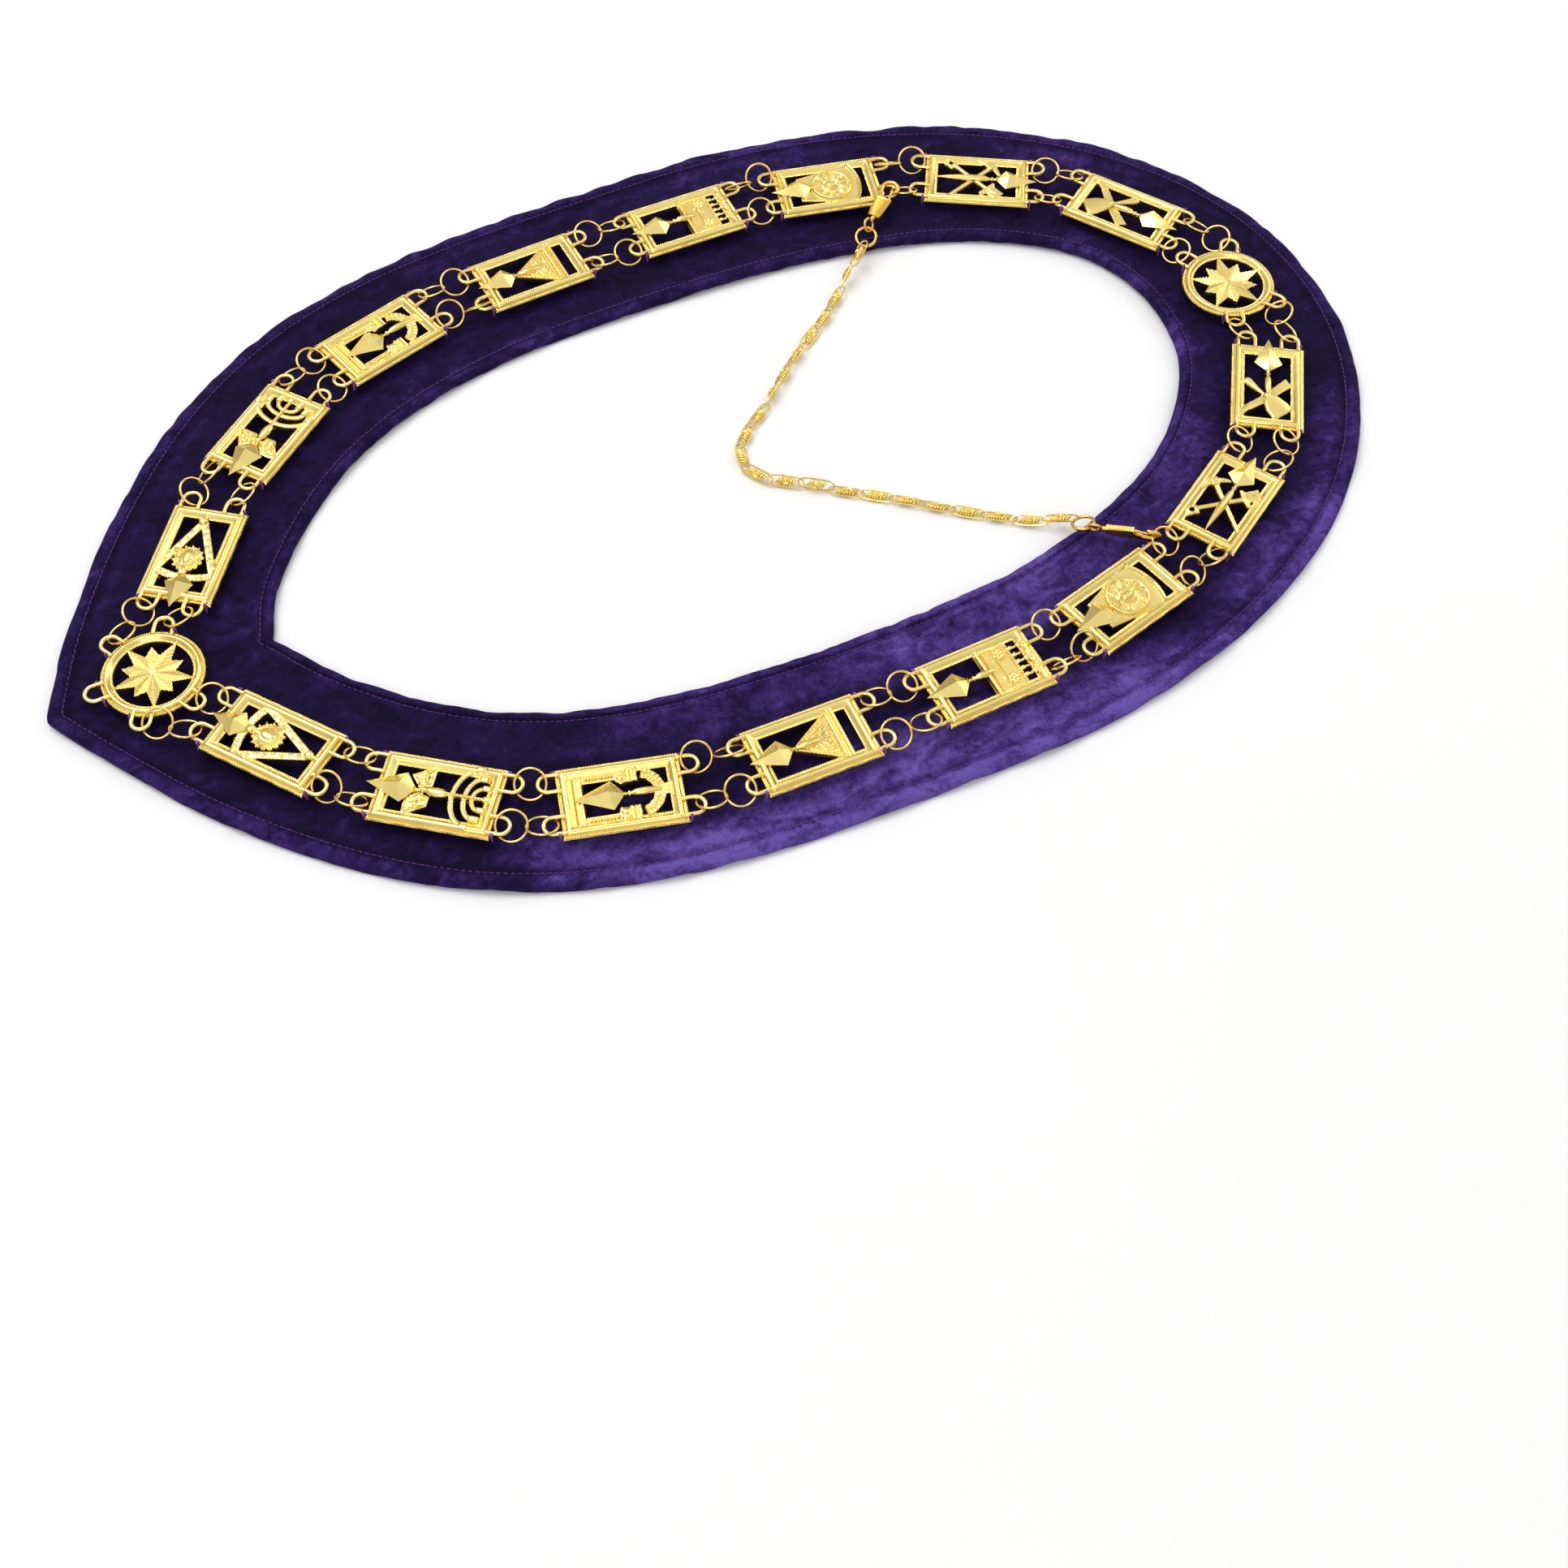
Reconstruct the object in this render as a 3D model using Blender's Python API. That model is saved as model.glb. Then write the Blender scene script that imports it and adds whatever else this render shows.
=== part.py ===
# A chain collar of regalia: openwork cast plates and two star medallions, held together by jump
# rings, on a padded velvet ring with a pointed front. A safety chain with two snap clasps crosses
# the neck opening. Metres, +Z up. The collar lies flat on its velvet ring, front point toward -Y,
# origin under the middle of its outline. "Near" is the +X side, "far" the -X side.

import math

import bmesh
import bpy
import numpy as np
from mathutils import Matrix, Vector

MM = 0.001

# Cast plates
PLATE_LENGTH = 45.0 * MM
PLATE_WIDTH = 29.5 * MM
FRAME_WIDTH = 5.4 * MM          # from the plate's outer edge to its opening
CROWN_PLACE = 0.5               # where across the frame its moulding is highest
EDGE_HEIGHT = 3.2 * MM
ROLL_HEIGHT = 4.2 * MM
BEAD_HEIGHT = 3.0 * MM
RELIEF_FLOOR = 0.9 * MM         # underside of the emblems inside the frame
RELIEF_TOP = 2.8 * MM
BOSS_TOP = 3.9 * MM

# Cast half-ring loops on plates and medallions
LOOP_REACH = 6.8 * MM
LOOP_WIDTH = 9.8 * MM
LOOP_WIRE = 1.45 * MM
LOOP_SPREAD = 8.8 * MM          # from the plate's middle line to each loop
LOOP_HEIGHT = 3.5 * MM          # of the loop's middle above the plate's underside
LOOP_ROOT = 1.5 * MM            # how far a loop's legs go into the frame
LOOP_BENDS = 3
LOOP_SIDES = 4
LOOP_RADIUS = (LOOP_WIDTH - LOOP_WIRE) / 2          # of the wire's middle line
LOOP_LEG = LOOP_REACH - LOOP_WIRE / 2 - LOOP_RADIUS  # straight part outside the casting

# Star medallions
MEDALLION_RADIUS = 19.25 * MM
MEDALLION_BAND = 4.8 * MM
MEDALLION_SIDES = 20
STAR_LONG = 15.4 * MM
STAR_SHORT = 11.2 * MM
STAR_NOTCH = 7.4 * MM
STAR_RISE = 1.6 * MM
FRONT_LOOP_ANGLE = 62.0         # degrees from the direction of the back medallion
FRONT_OUTER_LOOP_ANGLE = 118.0
FRONT_DROP_LOOP_ANGLE = 180.0
BACK_LOOP_ANGLE = 65.0          # degrees from the direction of the front medallion
BACK_OUTER_LOOP_ANGLE = 123.0

# Jump rings between the castings
RING_DIAMETER = 12.4 * MM
RING_WIRE = 1.0 * MM
RING_SIDES = 10
WIRE_SIDES = 5
RING_CLEARANCE = 0.12 * MM
RING_BITE = 0.35 * MM           # how far two rings of a string run into each other
STEEPEST_TILT = 76.0            # degrees

# Chain line: the middle line of the castings
PLATE_GAP = 20.3 * MM
SNUG_GAP = 20.0 * MM
WIDE_GAP = 26.0 * MM
FRONT_GAP = 14.5 * MM
BACK_GAP = 18.5 * MM
LINE_SLENDERNESS = 0.2865       # half width as a share of the length
LINE_WIDEST = 0.577             # where it is widest, as a share of the length
FRONT_FULLNESS = 3.75
BACK_FULLNESS = 2.06

# Velvet backing
BACKING_THICKNESS = 5.0 * MM
BACKING_ROUNDING = 1.8 * MM
OUTER_MARGIN_FRONT = 41.5 * MM
OUTER_MARGIN_SIDE = 37.5 * MM
OUTER_MARGIN_BACK = 36.0 * MM
INNER_MARGIN_FRONT = 42.5 * MM
INNER_MARGIN_SIDE = 40.0 * MM
INNER_MARGIN_BACK = 36.0 * MM
TIP_ROUNDING = 6.0 * MM
BACKING_STATIONS = 24

# Snap clasps: +X from the eye to the hook's crown, the gate on the -Y side, flat along Z
CLASP_THICKNESS = 3.2 * MM
GRIP_START = 4.4 * MM
GRIP_LENGTH = 10.6 * MM
GRIP_EYE_WIDTH = 4.4 * MM
GRIP_HOOK_WIDTH = 7.6 * MM
GRIP_RIBS = 5
RIB_DEPTH = 0.35 * MM
EYE_DIAMETER = 6.6 * MM
EYE_WIRE = 1.3 * MM
HOOK_CENTRE = 21.6 * MM         # of the hook's bend, from the eye
HOOK_WIDTH = 8.6 * MM
HOOK_WIRE = 1.9 * MM
NOSE_LENGTH = 1.6 * MM
GATE_WIRE = 1.3 * MM
JUMP_DIAMETER = 9.8 * MM
JUMP_WIRE = 1.3 * MM
JUMP_BITE = 0.15 * MM           # how far the jump ring is soldered into the eye

# How the two clasps lie beside the plate before them: the eye's middle beyond its back end and
# inward of its inner loops, the eye's height, the heading from the plate's own, pitch and roll, the
# eye's own roll, and the way the jump ring lies, again from the plate's heading, in degrees
CLASP_PLATE_INDEX = 6
CLASP_COLUMNS = ("side", "beyond", "inward", "height", "heading", "pitch", "roll", "eye_roll", "ring_heading")
NEAR_CLASP = (1, -7.5 * MM, 22.9 * MM, 9.0 * MM, -52.15, 3.0, -70.0, -70.0, 86.1)
FAR_CLASP = (-1, -10.9 * MM, 19.15 * MM, 9.3 * MM, 51.75, 8.0, 0.0, 60.0, -110.1)

# Safety chain, drawn as one round cord through its links' middles
CHAIN_WIDTH = 3.4 * MM
CHAIN_STEP = 10.0 * MM
CHAIN_END_GAP = 0.7 * MM        # from each jump ring to the cord's end
# Its way across the neck opening, far end to near end: x and y as shares of the chain line's
# length, and how far it is still lifted from the floor to the velvet's top
CHAIN_ROUTE = (
    (-0.1785, 0.2222, 0.95), (-0.172, 0.212, 0.65), (-0.162, 0.200, 0.22), (-0.146, 0.181, 0.0),
    (-0.129, 0.161, 0.0), (-0.097, 0.116, 0.0), (-0.062, 0.075, 0.0), (-0.037, 0.041, 0.0),
    (-0.015, 0.026, 0.0), (-0.004, 0.025, 0.0), (0.011, 0.028, 0.0), (0.028, 0.049, 0.0),
    (0.052, 0.082, 0.0), (0.086, 0.127, 0.0), (0.120, 0.168, 0.0), (0.143, 0.199, 0.0),
    (0.155, 0.214, 0.10), (0.163, 0.227, 0.45), (0.169, 0.238, 0.85),
)

SEAT_GAP = 0.3 * MM
PART_GAP = 0.3 * MM
FLAT_ANGLE = 1.0                # degrees under which neighbouring faces are one

# Which spaces between neighbouring castings are the wide ones, front to back
GAPS = (FRONT_GAP, PLATE_GAP, PLATE_GAP, WIDE_GAP, WIDE_GAP, SNUG_GAP, PLATE_GAP, PLATE_GAP, BACK_GAP)

# Ring strings, front to back: how many rings, whether a pair is linked, and on which side of the
# string's own line the first ring stands up (+1 toward the neck opening), and its least tilt in degrees
STRING_COLUMNS = ("inner_rings", "inner_linked", "inner_lean", "inner_tilt",
                  "outer_rings", "outer_linked", "outer_lean", "outer_tilt")
NEAR_STRINGS = (
    (1, True, 1, 25, 2, True, 1, 25),
    (1, True, -1, 25, 2, True, 1, 25),
    (1, True, 1, 25, 2, True, 1, 25),
    (2, False, 1, 25, 2, True, -1, 25),
    (2, True, -1, 25, 2, False, 1, 25),
    (1, True, 1, 25, 2, True, -1, 25),
    (1, True, 1, 30, 2, True, 1, 25),
    (1, True, 1, 25, 2, True, -1, 25),
    (1, True, 1, 25, 2, True, 1, 25),
)
FAR_STRINGS = (
    (1, True, 1, 25, 2, True, 1, 25),
    (1, True, 1, 25, 2, True, -1, 25),
    (1, True, -1, 25, 2, True, 1, 25),
    (2, False, -1, 25, 2, True, 1, 25),
    (2, True, 1, 25, 2, True, -1, 25),
    (1, True, -1, 25, 2, True, 1, 25),
    (1, True, 1, 25, 2, True, 1, 25),
    (1, True, 1, 25, 2, True, -1, 25),
    (1, True, -1, 25, 2, True, 1, 25),
)

GOLD = ("gold plate", (0.83, 0.60, 0.20), 0.25, 1.0)
CLASP_GOLD = ("clasp gold", (0.80, 0.50, 0.16), 0.28, 1.0)
VELVET = ("violet velvet", (0.06, 0.02, 0.16), 0.90, 0.0)


def clear_scene():
    for item in list(bpy.data.objects):
        bpy.data.objects.remove(item, do_unlink=True)


def material(recipe):
    name, colour, roughness, metallic = recipe
    found = bpy.data.materials.get(name) or bpy.data.materials.new(name)
    found.use_nodes = True
    shader = found.node_tree.nodes["Principled BSDF"]
    shader.inputs["Base Color"].default_value = (*colour, 1.0)
    shader.inputs["Roughness"].default_value = roughness
    shader.inputs["Metallic"].default_value = metallic
    return found


def placed(name, mesh, recipe, location=(0, 0, 0), turn=0.0):
    item = bpy.data.objects.new(name, mesh)
    if not mesh.materials:
        mesh.materials.append(material(recipe))
    item.location = location
    item.rotation_euler = (0, 0, turn)
    bpy.context.scene.collection.objects.link(item)
    return item


# Small solids

def solid(points, faces):
    form = bmesh.new()
    corners = [form.verts.new(point) for point in points]
    for face in faces:
        form.faces.new([corners[i] for i in face])
    bmesh.ops.recalc_face_normals(form, faces=form.faces)
    mesh = bpy.data.meshes.new("solid")
    form.to_mesh(mesh)
    form.free()
    return mesh


def lofted(rings, closed):
    """A skin through rings of equally many points. It closes on itself, or is capped."""
    count, size = len(rings), len(rings[0])
    points = [point for ring in rings for point in ring]
    faces = []
    for i in range(count if closed else count - 1):
        here, there = i * size, (i + 1) % count * size
        for j in range(size):
            k = (j + 1) % size
            faces.append((here + j, here + k, there + k, there + j))
    if not closed:
        faces.append(tuple(range(size)))
        faces.append(tuple(reversed(range((count - 1) * size, count * size))))
    return solid(points, faces)


def prism(outline, low=RELIEF_FLOOR, high=RELIEF_TOP):
    return lofted([[(x, y, low) for x, y in outline], [(x, y, high) for x, y in outline]], False)


def bar(start, end, width, low=RELIEF_FLOOR, high=RELIEF_TOP):
    start, end = Vector(start), Vector(end)
    side = (end - start).orthogonal().normalized() * width / 2
    return prism([start + side, start - side, end - side, end + side], low, high)


def arc(centre, radius, first, last, steps):
    angles = np.radians(np.linspace(first, last, steps + 1))
    return [(centre[0] + radius * math.cos(a), centre[1] + radius * math.sin(a)) for a in angles]


def arc_band(centre, outer, inner, first, last, steps, low=RELIEF_FLOOR, high=RELIEF_TOP):
    outline = arc(centre, outer, first, last, steps) + arc(centre, inner, last, first, steps)
    return prism(outline, low, high)


def boss(centre, radius_x, radius_y, sides=8, low=RELIEF_FLOOR, high=BOSS_TOP):
    """A low round boss with a smaller crown."""
    return lofted([[(centre[0] + share * radius_x * math.cos(2 * math.pi * (i + 0.5) / sides),
                     centre[1] + share * radius_y * math.sin(2 * math.pi * (i + 0.5) / sides), level)
                    for i in range(sides)] for share, level in ((1.0, low), (0.75, high))], False)


def tube(path, wire, sides, closed, up=(0, 0, 1)):
    """A wire with a many-sided section along a path whose points stay in one plane, normal to up."""
    path = [Vector(point) for point in path]
    up = Vector(up).normalized()
    rings = []
    for i, point in enumerate(path):
        before = path[i - 1] if closed or i > 0 else point
        after = path[(i + 1) % len(path)] if closed or i < len(path) - 1 else point
        along = (after - before).normalized()
        side = along.cross(up).normalized()
        if closed or 0 < i < len(path) - 1:
            bend = (point - before).normalized().dot(along)
            side = side / max(bend, 0.5)
        rings.append([point + wire / 2 * (side * math.cos(2 * math.pi * j / sides) +
                                          up * math.sin(2 * math.pi * j / sides))
                      for j in range(sides)])
    return lofted(rings, closed)


def turned(mesh, angle, origin=(0, 0, 0)):
    mesh.transform(Matrix.Translation(origin) @ Matrix.Rotation(angle, 4, "Z"))
    return mesh


def fused(name, pieces):
    """One body from pieces that run into each other, by a Boolean union."""
    base = bpy.data.objects.new(name + " base", pieces[0])
    bpy.context.scene.collection.objects.link(base)
    others = []
    for piece in pieces[1:]:
        other = bpy.data.objects.new(name + " piece", piece)
        bpy.context.scene.collection.objects.link(other)
        others.append(other)
        joint = base.modifiers.new("union", "BOOLEAN")
        joint.operation = "UNION"
        joint.solver = "EXACT"
        joint.object = other
    bpy.context.view_layer.update()
    shown = base.evaluated_get(bpy.context.evaluated_depsgraph_get())
    mesh = bpy.data.meshes.new_from_object(shown)
    for item in [base] + others:
        bpy.data.objects.remove(item, do_unlink=True)
    form = bmesh.new()
    form.from_mesh(mesh)
    bmesh.ops.dissolve_limit(form, angle_limit=math.radians(FLAT_ANGLE), verts=form.verts, edges=form.edges)
    form.to_mesh(mesh)
    form.free()
    mesh.materials.clear()
    mesh.name = name
    return mesh


# The castings' shared parts

def loop_path():
    """The middle line of a loop that stands out along +X from an edge at X = 0."""
    path = [(-LOOP_ROOT, -LOOP_RADIUS)]
    path += arc((LOOP_LEG, 0), LOOP_RADIUS, -90, 90, LOOP_BENDS)
    path += [(-LOOP_ROOT, LOOP_RADIUS)]
    return path


def loop(angle, foot):
    """A half-ring loop on the edge point foot, standing out at an angle in degrees."""
    mesh = tube([(x, y, LOOP_HEIGHT) for x, y in loop_path()], LOOP_WIRE, LOOP_SIDES, False)
    return turned(mesh, math.radians(angle), (foot[0], foot[1], 0))


def frame_profile(width):
    """Inset from the outer edge and height, round the moulded frame's section."""
    crown = CROWN_PLACE * width
    return ((0, 0), (0, EDGE_HEIGHT), (crown, ROLL_HEIGHT), (width, BEAD_HEIGHT), (width, 0))


def plate_frame():
    half_length, half_width = PLATE_LENGTH / 2, PLATE_WIDTH / 2
    rings = []
    for sx, sy in ((-1, -1), (1, -1), (1, 1), (-1, 1)):
        rings.append([(sx * (half_length - inset), sy * (half_width - inset), height)
                      for inset, height in frame_profile(FRAME_WIDTH)])
    return lofted(rings, True)


def plate_loops():
    half = PLATE_LENGTH / 2
    return [loop(angle, (side * half, across)) for side, angle in ((-1, 180), (1, 0))
            for across in (-LOOP_SPREAD, LOOP_SPREAD)]


TROWEL_LENGTH = 17.4 * MM
TROWEL_WIDTH = 11.4 * MM
TROWEL_HEEL = 4.3 * MM          # from the widest place back to the tang
TROWEL_FLOOR = 2.3 * MM
TROWEL_EDGE = 4.6 * MM
TROWEL_CROWN = 6.2 * MM
HANDLE_WIDTH = 2.4 * MM


def trowel(tip, handle=13.0 * MM, heading=-1):
    """A kite-shaped blade with a raised ridge, its tip at X = tip, and a turned handle behind it."""
    heel = tip - heading * TROWEL_LENGTH
    wide = heel + heading * TROWEL_HEEL
    outline = [(tip, 0), (wide, -TROWEL_WIDTH / 2), (heel, 0), (wide, TROWEL_WIDTH / 2)]
    points = [(x, y, TROWEL_FLOOR) for x, y in outline] + [(x, y, TROWEL_EDGE) for x, y in outline]
    points.append((wide + heading * TROWEL_HEEL / 2, 0, TROWEL_CROWN))
    faces = [(3, 2, 1, 0)] + [(i, (i + 1) % 4, 4 + (i + 1) % 4, 4 + i) for i in range(4)]
    faces += [(4 + i, 4 + (i + 1) % 4, 8) for i in range(4)]
    blade = solid(points, faces)
    end = heel - heading * handle
    return [blade, bar((wide, 0), (end, 0), HANDLE_WIDTH)]


FRONT_INSIDE = -PLATE_LENGTH / 2 + FRAME_WIDTH
BACK_INSIDE = PLATE_LENGTH / 2 - FRAME_WIDTH
SIDE_INSIDE = PLATE_WIDTH / 2 - FRAME_WIDTH
BITE = 1.2 * MM                 # how far an emblem's ends go into the frame


# The eight designs, each in the plate's own frame: +X toward the back of the collar, +Y to the left

def compasses():
    hinge = (BACK_INSIDE - BITE, 0.6 * MM)
    tips = ((FRONT_INSIDE + 7.0 * MM, -SIDE_INSIDE - 3.0 * MM),
            (FRONT_INSIDE + 5.0 * MM, SIDE_INSIDE + 1.6 * MM))
    pieces = [bar(hinge, tip, 2.6 * MM) for tip in tips]
    pieces.append(boss(hinge, 2.2 * MM, 2.2 * MM, 6))
    pieces.append(arc_band(hinge, 27.5 * MM, 25.4 * MM, 159, 199, 4))
    sun = (hinge[0] - 18.5 * MM, hinge[1] + 0.6 * MM)
    pieces.append(boss(sun, 5.0 * MM, 5.6 * MM))
    pieces.append(bar(sun, (FRONT_INSIDE + 4.0 * MM, 0), 2.0 * MM))
    return pieces + trowel(-PLATE_LENGTH / 2 - 2.6 * MM, 6.0 * MM)


def candlestick():
    row = BACK_INSIDE - 0.4 * MM
    spacing = 4.1 * MM
    pieces = [bar((-9.0 * MM, 0), (row, 0), 2.0 * MM)]
    for arm in (2, 3):
        radius = arm * spacing
        pieces.append(arc_band((row, 0), radius + 0.8 * MM, radius - 0.8 * MM, 90, 270, 4))
    cups = SIDE_INSIDE + 2.6 * MM
    pieces.append(bar((row + 1.1 * MM, -cups), (row + 1.1 * MM, cups), 3.4 * MM))
    base = SIDE_INSIDE + BITE
    foot = [(-7.0 * MM, 0.8 * MM), (-10.6 * MM, base), (-1.6 * MM, base), (-4.8 * MM, 0.8 * MM)]
    mirrored = [(x, -y) for x, y in reversed(foot)]
    pieces.append(prism(foot + mirrored))
    return pieces + trowel(-PLATE_LENGTH / 2 - 2.5 * MM)


def arch():
    spring = 6.0 * MM
    outer, inner = SIDE_INSIDE + 0.9 * MM, SIDE_INSIDE - 2.9 * MM
    column = (inner + outer) / 2
    pieces = [arc_band((spring, 0), outer, inner, -90, 90, 6)]
    for side in (-1, 1):
        pieces.append(bar((FRONT_INSIDE - BITE, side * column), (spring + 0.3 * MM, side * column), 2.6 * MM))
        pieces.append(bar((spring - 2.6 * MM, side * column), (spring + 0.6 * MM, side * column), 4.2 * MM))
    base = SIDE_INSIDE + BITE
    pieces.append(bar((FRONT_INSIDE + 1.4 * MM, -base), (FRONT_INSIDE + 1.4 * MM, base), 5.6 * MM))
    return pieces + trowel(FRONT_INSIDE, BACK_INSIDE - FRONT_INSIDE + BITE - TROWEL_LENGTH)


def triangle():
    side = SIDE_INSIDE + 3.6 * MM
    back = 11.6 * MM
    panel = [(-7.6 * MM, -0.8 * MM), (back, -side), (back, side), (-7.6 * MM, 0.8 * MM)]
    pieces = [prism(panel)]
    pieces.append(bar((back, -side - 0.2 * MM), (back, side + 0.2 * MM), 2.8 * MM))
    return pieces + trowel(-PLATE_LENGTH / 2 - 1.0 * MM, 3.0 * MM)


def rosettes():
    front, back = 1.2 * MM, 13.8 * MM
    side = SIDE_INSIDE + BITE
    pieces = [prism([(front, -side), (back, -side), (back, side), (front, side)])]
    pieces.append(bar((front + 0.8 * MM, -side), (front + 0.8 * MM, side), 1.6 * MM))
    for across in (-6.2 * MM, 6.2 * MM):
        pieces.append(boss((8.2 * MM, across), 2.4 * MM, 2.4 * MM, 6))
    spacing = 2 * SIDE_INSIDE / 5
    for i in range(1, 5):
        across = -SIDE_INSIDE + i * spacing
        pieces.append(bar((back - BITE, across), (BACK_INSIDE + BITE, across), 1.2 * MM))
    return pieces + trowel(-PLATE_LENGTH / 2 - 1.8 * MM)


def keystone():
    front, back = -11.0 * MM, 11.5 * MM
    narrow, wide = 4.6 * MM, SIDE_INSIDE + 1.8 * MM
    bulge = 3.0 * MM
    radius = (wide ** 2 + bulge ** 2) / (2 * bulge)
    spread = math.degrees(math.asin(wide / radius))
    arch_line = arc((back + bulge - radius, 0), radius, -spread, spread, 4)
    outline = [(front, -narrow)] + arch_line + [(front, narrow)]
    pieces = [prism(outline)]
    pieces.append(boss((2.0 * MM, 0), 8.4 * MM, 8.4 * MM, 12, high=BOSS_TOP - 0.5 * MM))
    pieces.append(boss((2.0 * MM, 0), 3.4 * MM, 3.4 * MM))
    return pieces + trowel(-PLATE_LENGTH / 2 - 2.8 * MM, 3.0 * MM)


def pick_and_spade():
    pieces = [bar((FRONT_INSIDE - BITE, 0.6 * MM), (9.0 * MM, 0), 2.2 * MM)]
    pieces.append(bar((-9.6 * MM, -SIDE_INSIDE - 1.8 * MM), (7.0 * MM, SIDE_INSIDE + 1.4 * MM), 2.0 * MM))
    pieces.append(arc_band((2.6 * MM, 1.6 * MM), 10.6 * MM, 8.6 * MM, 22, 98, 3))
    eye, blade = Vector((-12.4 * MM, SIDE_INSIDE + 0.4 * MM)), Vector((5.0 * MM, -6.4 * MM))
    pieces.append(bar(eye, blade, 1.9 * MM))
    pieces.append(boss(eye, 2.8 * MM, 2.4 * MM, 4))
    along = (blade - eye).normalized()
    pieces.append(bar(blade, blade + along * 6.6 * MM, 5.6 * MM))
    return pieces + trowel(PLATE_LENGTH / 2 + 3.2 * MM, 9.0 * MM, 1)


def shovel_and_bar():
    cross = Vector((-6.0 * MM, 0.4 * MM))
    pieces = [bar((-14.0 * MM, SIDE_INSIDE + 1.0 * MM), (4.6 * MM, -SIDE_INSIDE - 0.6 * MM), 2.6 * MM)]
    pieces.append(bar((-16.4 * MM, SIDE_INSIDE - 1.4 * MM), (-11.6 * MM, SIDE_INSIDE + 1.8 * MM), 2.0 * MM))
    top = Vector((4.2 * MM, SIDE_INSIDE + 0.6 * MM))
    toe = cross - (top - cross).normalized() * 13.6 * MM
    along = (toe - cross).normalized()
    side = Vector((-along.y, along.x))
    pieces.append(bar(top, cross + along * 5.0 * MM, 2.2 * MM))
    neck = cross + along * 3.4 * MM
    blade = [neck - side * 1.2 * MM, toe - side * 4.2 * MM, toe + side * 4.2 * MM, neck + side * 1.2 * MM]
    pieces.append(prism(blade))
    pieces.append(boss(cross, 1.7 * MM, 1.7 * MM, 6))
    pieces.append(bar(cross, (9.0 * MM, 0), 2.2 * MM))
    return pieces + trowel(PLATE_LENGTH / 2 + 2.3 * MM, 8.0 * MM, 1)


DESIGNS = (compasses, candlestick, arch, triangle, rosettes, keystone, pick_and_spade, shovel_and_bar)


def plate_mesh(design):
    return fused("plate " + design.__name__, [plate_frame()] + plate_loops() + design())


# Medallions

def medallion_ring():
    rings = []
    for i in range(MEDALLION_SIDES):
        angle = 2 * math.pi * i / MEDALLION_SIDES
        rings.append([((MEDALLION_RADIUS - inset) * math.cos(angle),
                       (MEDALLION_RADIUS - inset) * math.sin(angle), height)
                      for inset, height in frame_profile(MEDALLION_BAND)])
    return lofted(rings, True)


def star(first_point):
    """Five long points that run into the ring and five short ones between them."""
    outline = []
    for i in range(20):
        reach = STAR_NOTCH if i % 2 else (STAR_LONG if i % 4 == 0 else STAR_SHORT)
        angle = math.radians(first_point + 18 * i)
        outline.append((reach * math.cos(angle), reach * math.sin(angle)))
    top = RELIEF_TOP - 0.4 * MM
    points = [(x, y, RELIEF_FLOOR) for x, y in outline] + [(x, y, top) for x, y in outline]
    points += [(0, 0, top + STAR_RISE), (0, 0, RELIEF_FLOOR)]
    faces = []
    for i in range(20):
        k = (i + 1) % 20
        faces += [(i, k, 20 + k, 20 + i), (20 + i, 20 + k, 40), (k, i, 41)]
    return solid(points, faces)


def medallion(name, first_point, loop_angles):
    edge = MEDALLION_RADIUS * math.cos(math.pi / MEDALLION_SIDES)
    loops = [loop(angle, (edge * math.cos(math.radians(angle)), edge * math.sin(math.radians(angle))))
             for angle in loop_angles]
    return fused(name, [medallion_ring(), star(first_point)] + loops)


# The chain line and the backing's edges

def half_curve(front, back, half_width, samples=400):
    """Half an outline from its front point to its back point, as (across, along) pairs."""
    widest = front + LINE_WIDEST * (back - front)
    run = np.linspace(1, 0, samples)
    turn = np.linspace(0, math.pi / 2, samples)[1:]
    across = np.concatenate([half_width * (1 - run ** FRONT_FULLNESS),
                             half_width * np.cos(turn) ** (2 / BACK_FULLNESS)])
    along = np.concatenate([widest - run * (widest - front),
                            widest + (back - widest) * np.sin(turn) ** (2 / BACK_FULLNESS)])
    across[-1] = 0.0
    return np.stack([across, along], axis=1)


def arc_lengths(curve):
    return np.concatenate([[0], np.cumsum(np.hypot(*np.diff(curve, axis=0).T))])


def at_lengths(curve, wanted):
    lengths = arc_lengths(curve)
    return np.stack([np.interp(wanted, lengths, curve[:, k]) for k in range(2)], axis=1)


def casting_places():
    """Where the castings sit along half the chain line, from the front medallion to the back one."""
    places = [0.0]
    for i, gap in enumerate(GAPS):
        before = MEDALLION_RADIUS if i == 0 else PLATE_LENGTH / 2
        after = MEDALLION_RADIUS if i == len(GAPS) - 1 else PLATE_LENGTH / 2
        places.append(places[-1] + before + gap + after)
    return places


CASTING_PLACES = casting_places()
UNIT_LINE = half_curve(-LINE_WIDEST, 1 - LINE_WIDEST, LINE_SLENDERNESS)
LINE_LENGTH = CASTING_PLACES[-1] / arc_lengths(UNIT_LINE)[-1]
LINE_HALF_WIDTH = LINE_SLENDERNESS * LINE_LENGTH
BACKING_LENGTH = LINE_LENGTH + OUTER_MARGIN_FRONT + OUTER_MARGIN_BACK
LINE_FRONT = -BACKING_LENGTH / 2 + OUTER_MARGIN_FRONT
LINE_BACK = BACKING_LENGTH / 2 - OUTER_MARGIN_BACK
CHAIN_LINE = half_curve(LINE_FRONT, LINE_BACK, LINE_HALF_WIDTH)
OUTER_EDGE = half_curve(LINE_FRONT - OUTER_MARGIN_FRONT, LINE_BACK + OUTER_MARGIN_BACK,
                        LINE_HALF_WIDTH + OUTER_MARGIN_SIDE)
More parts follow.
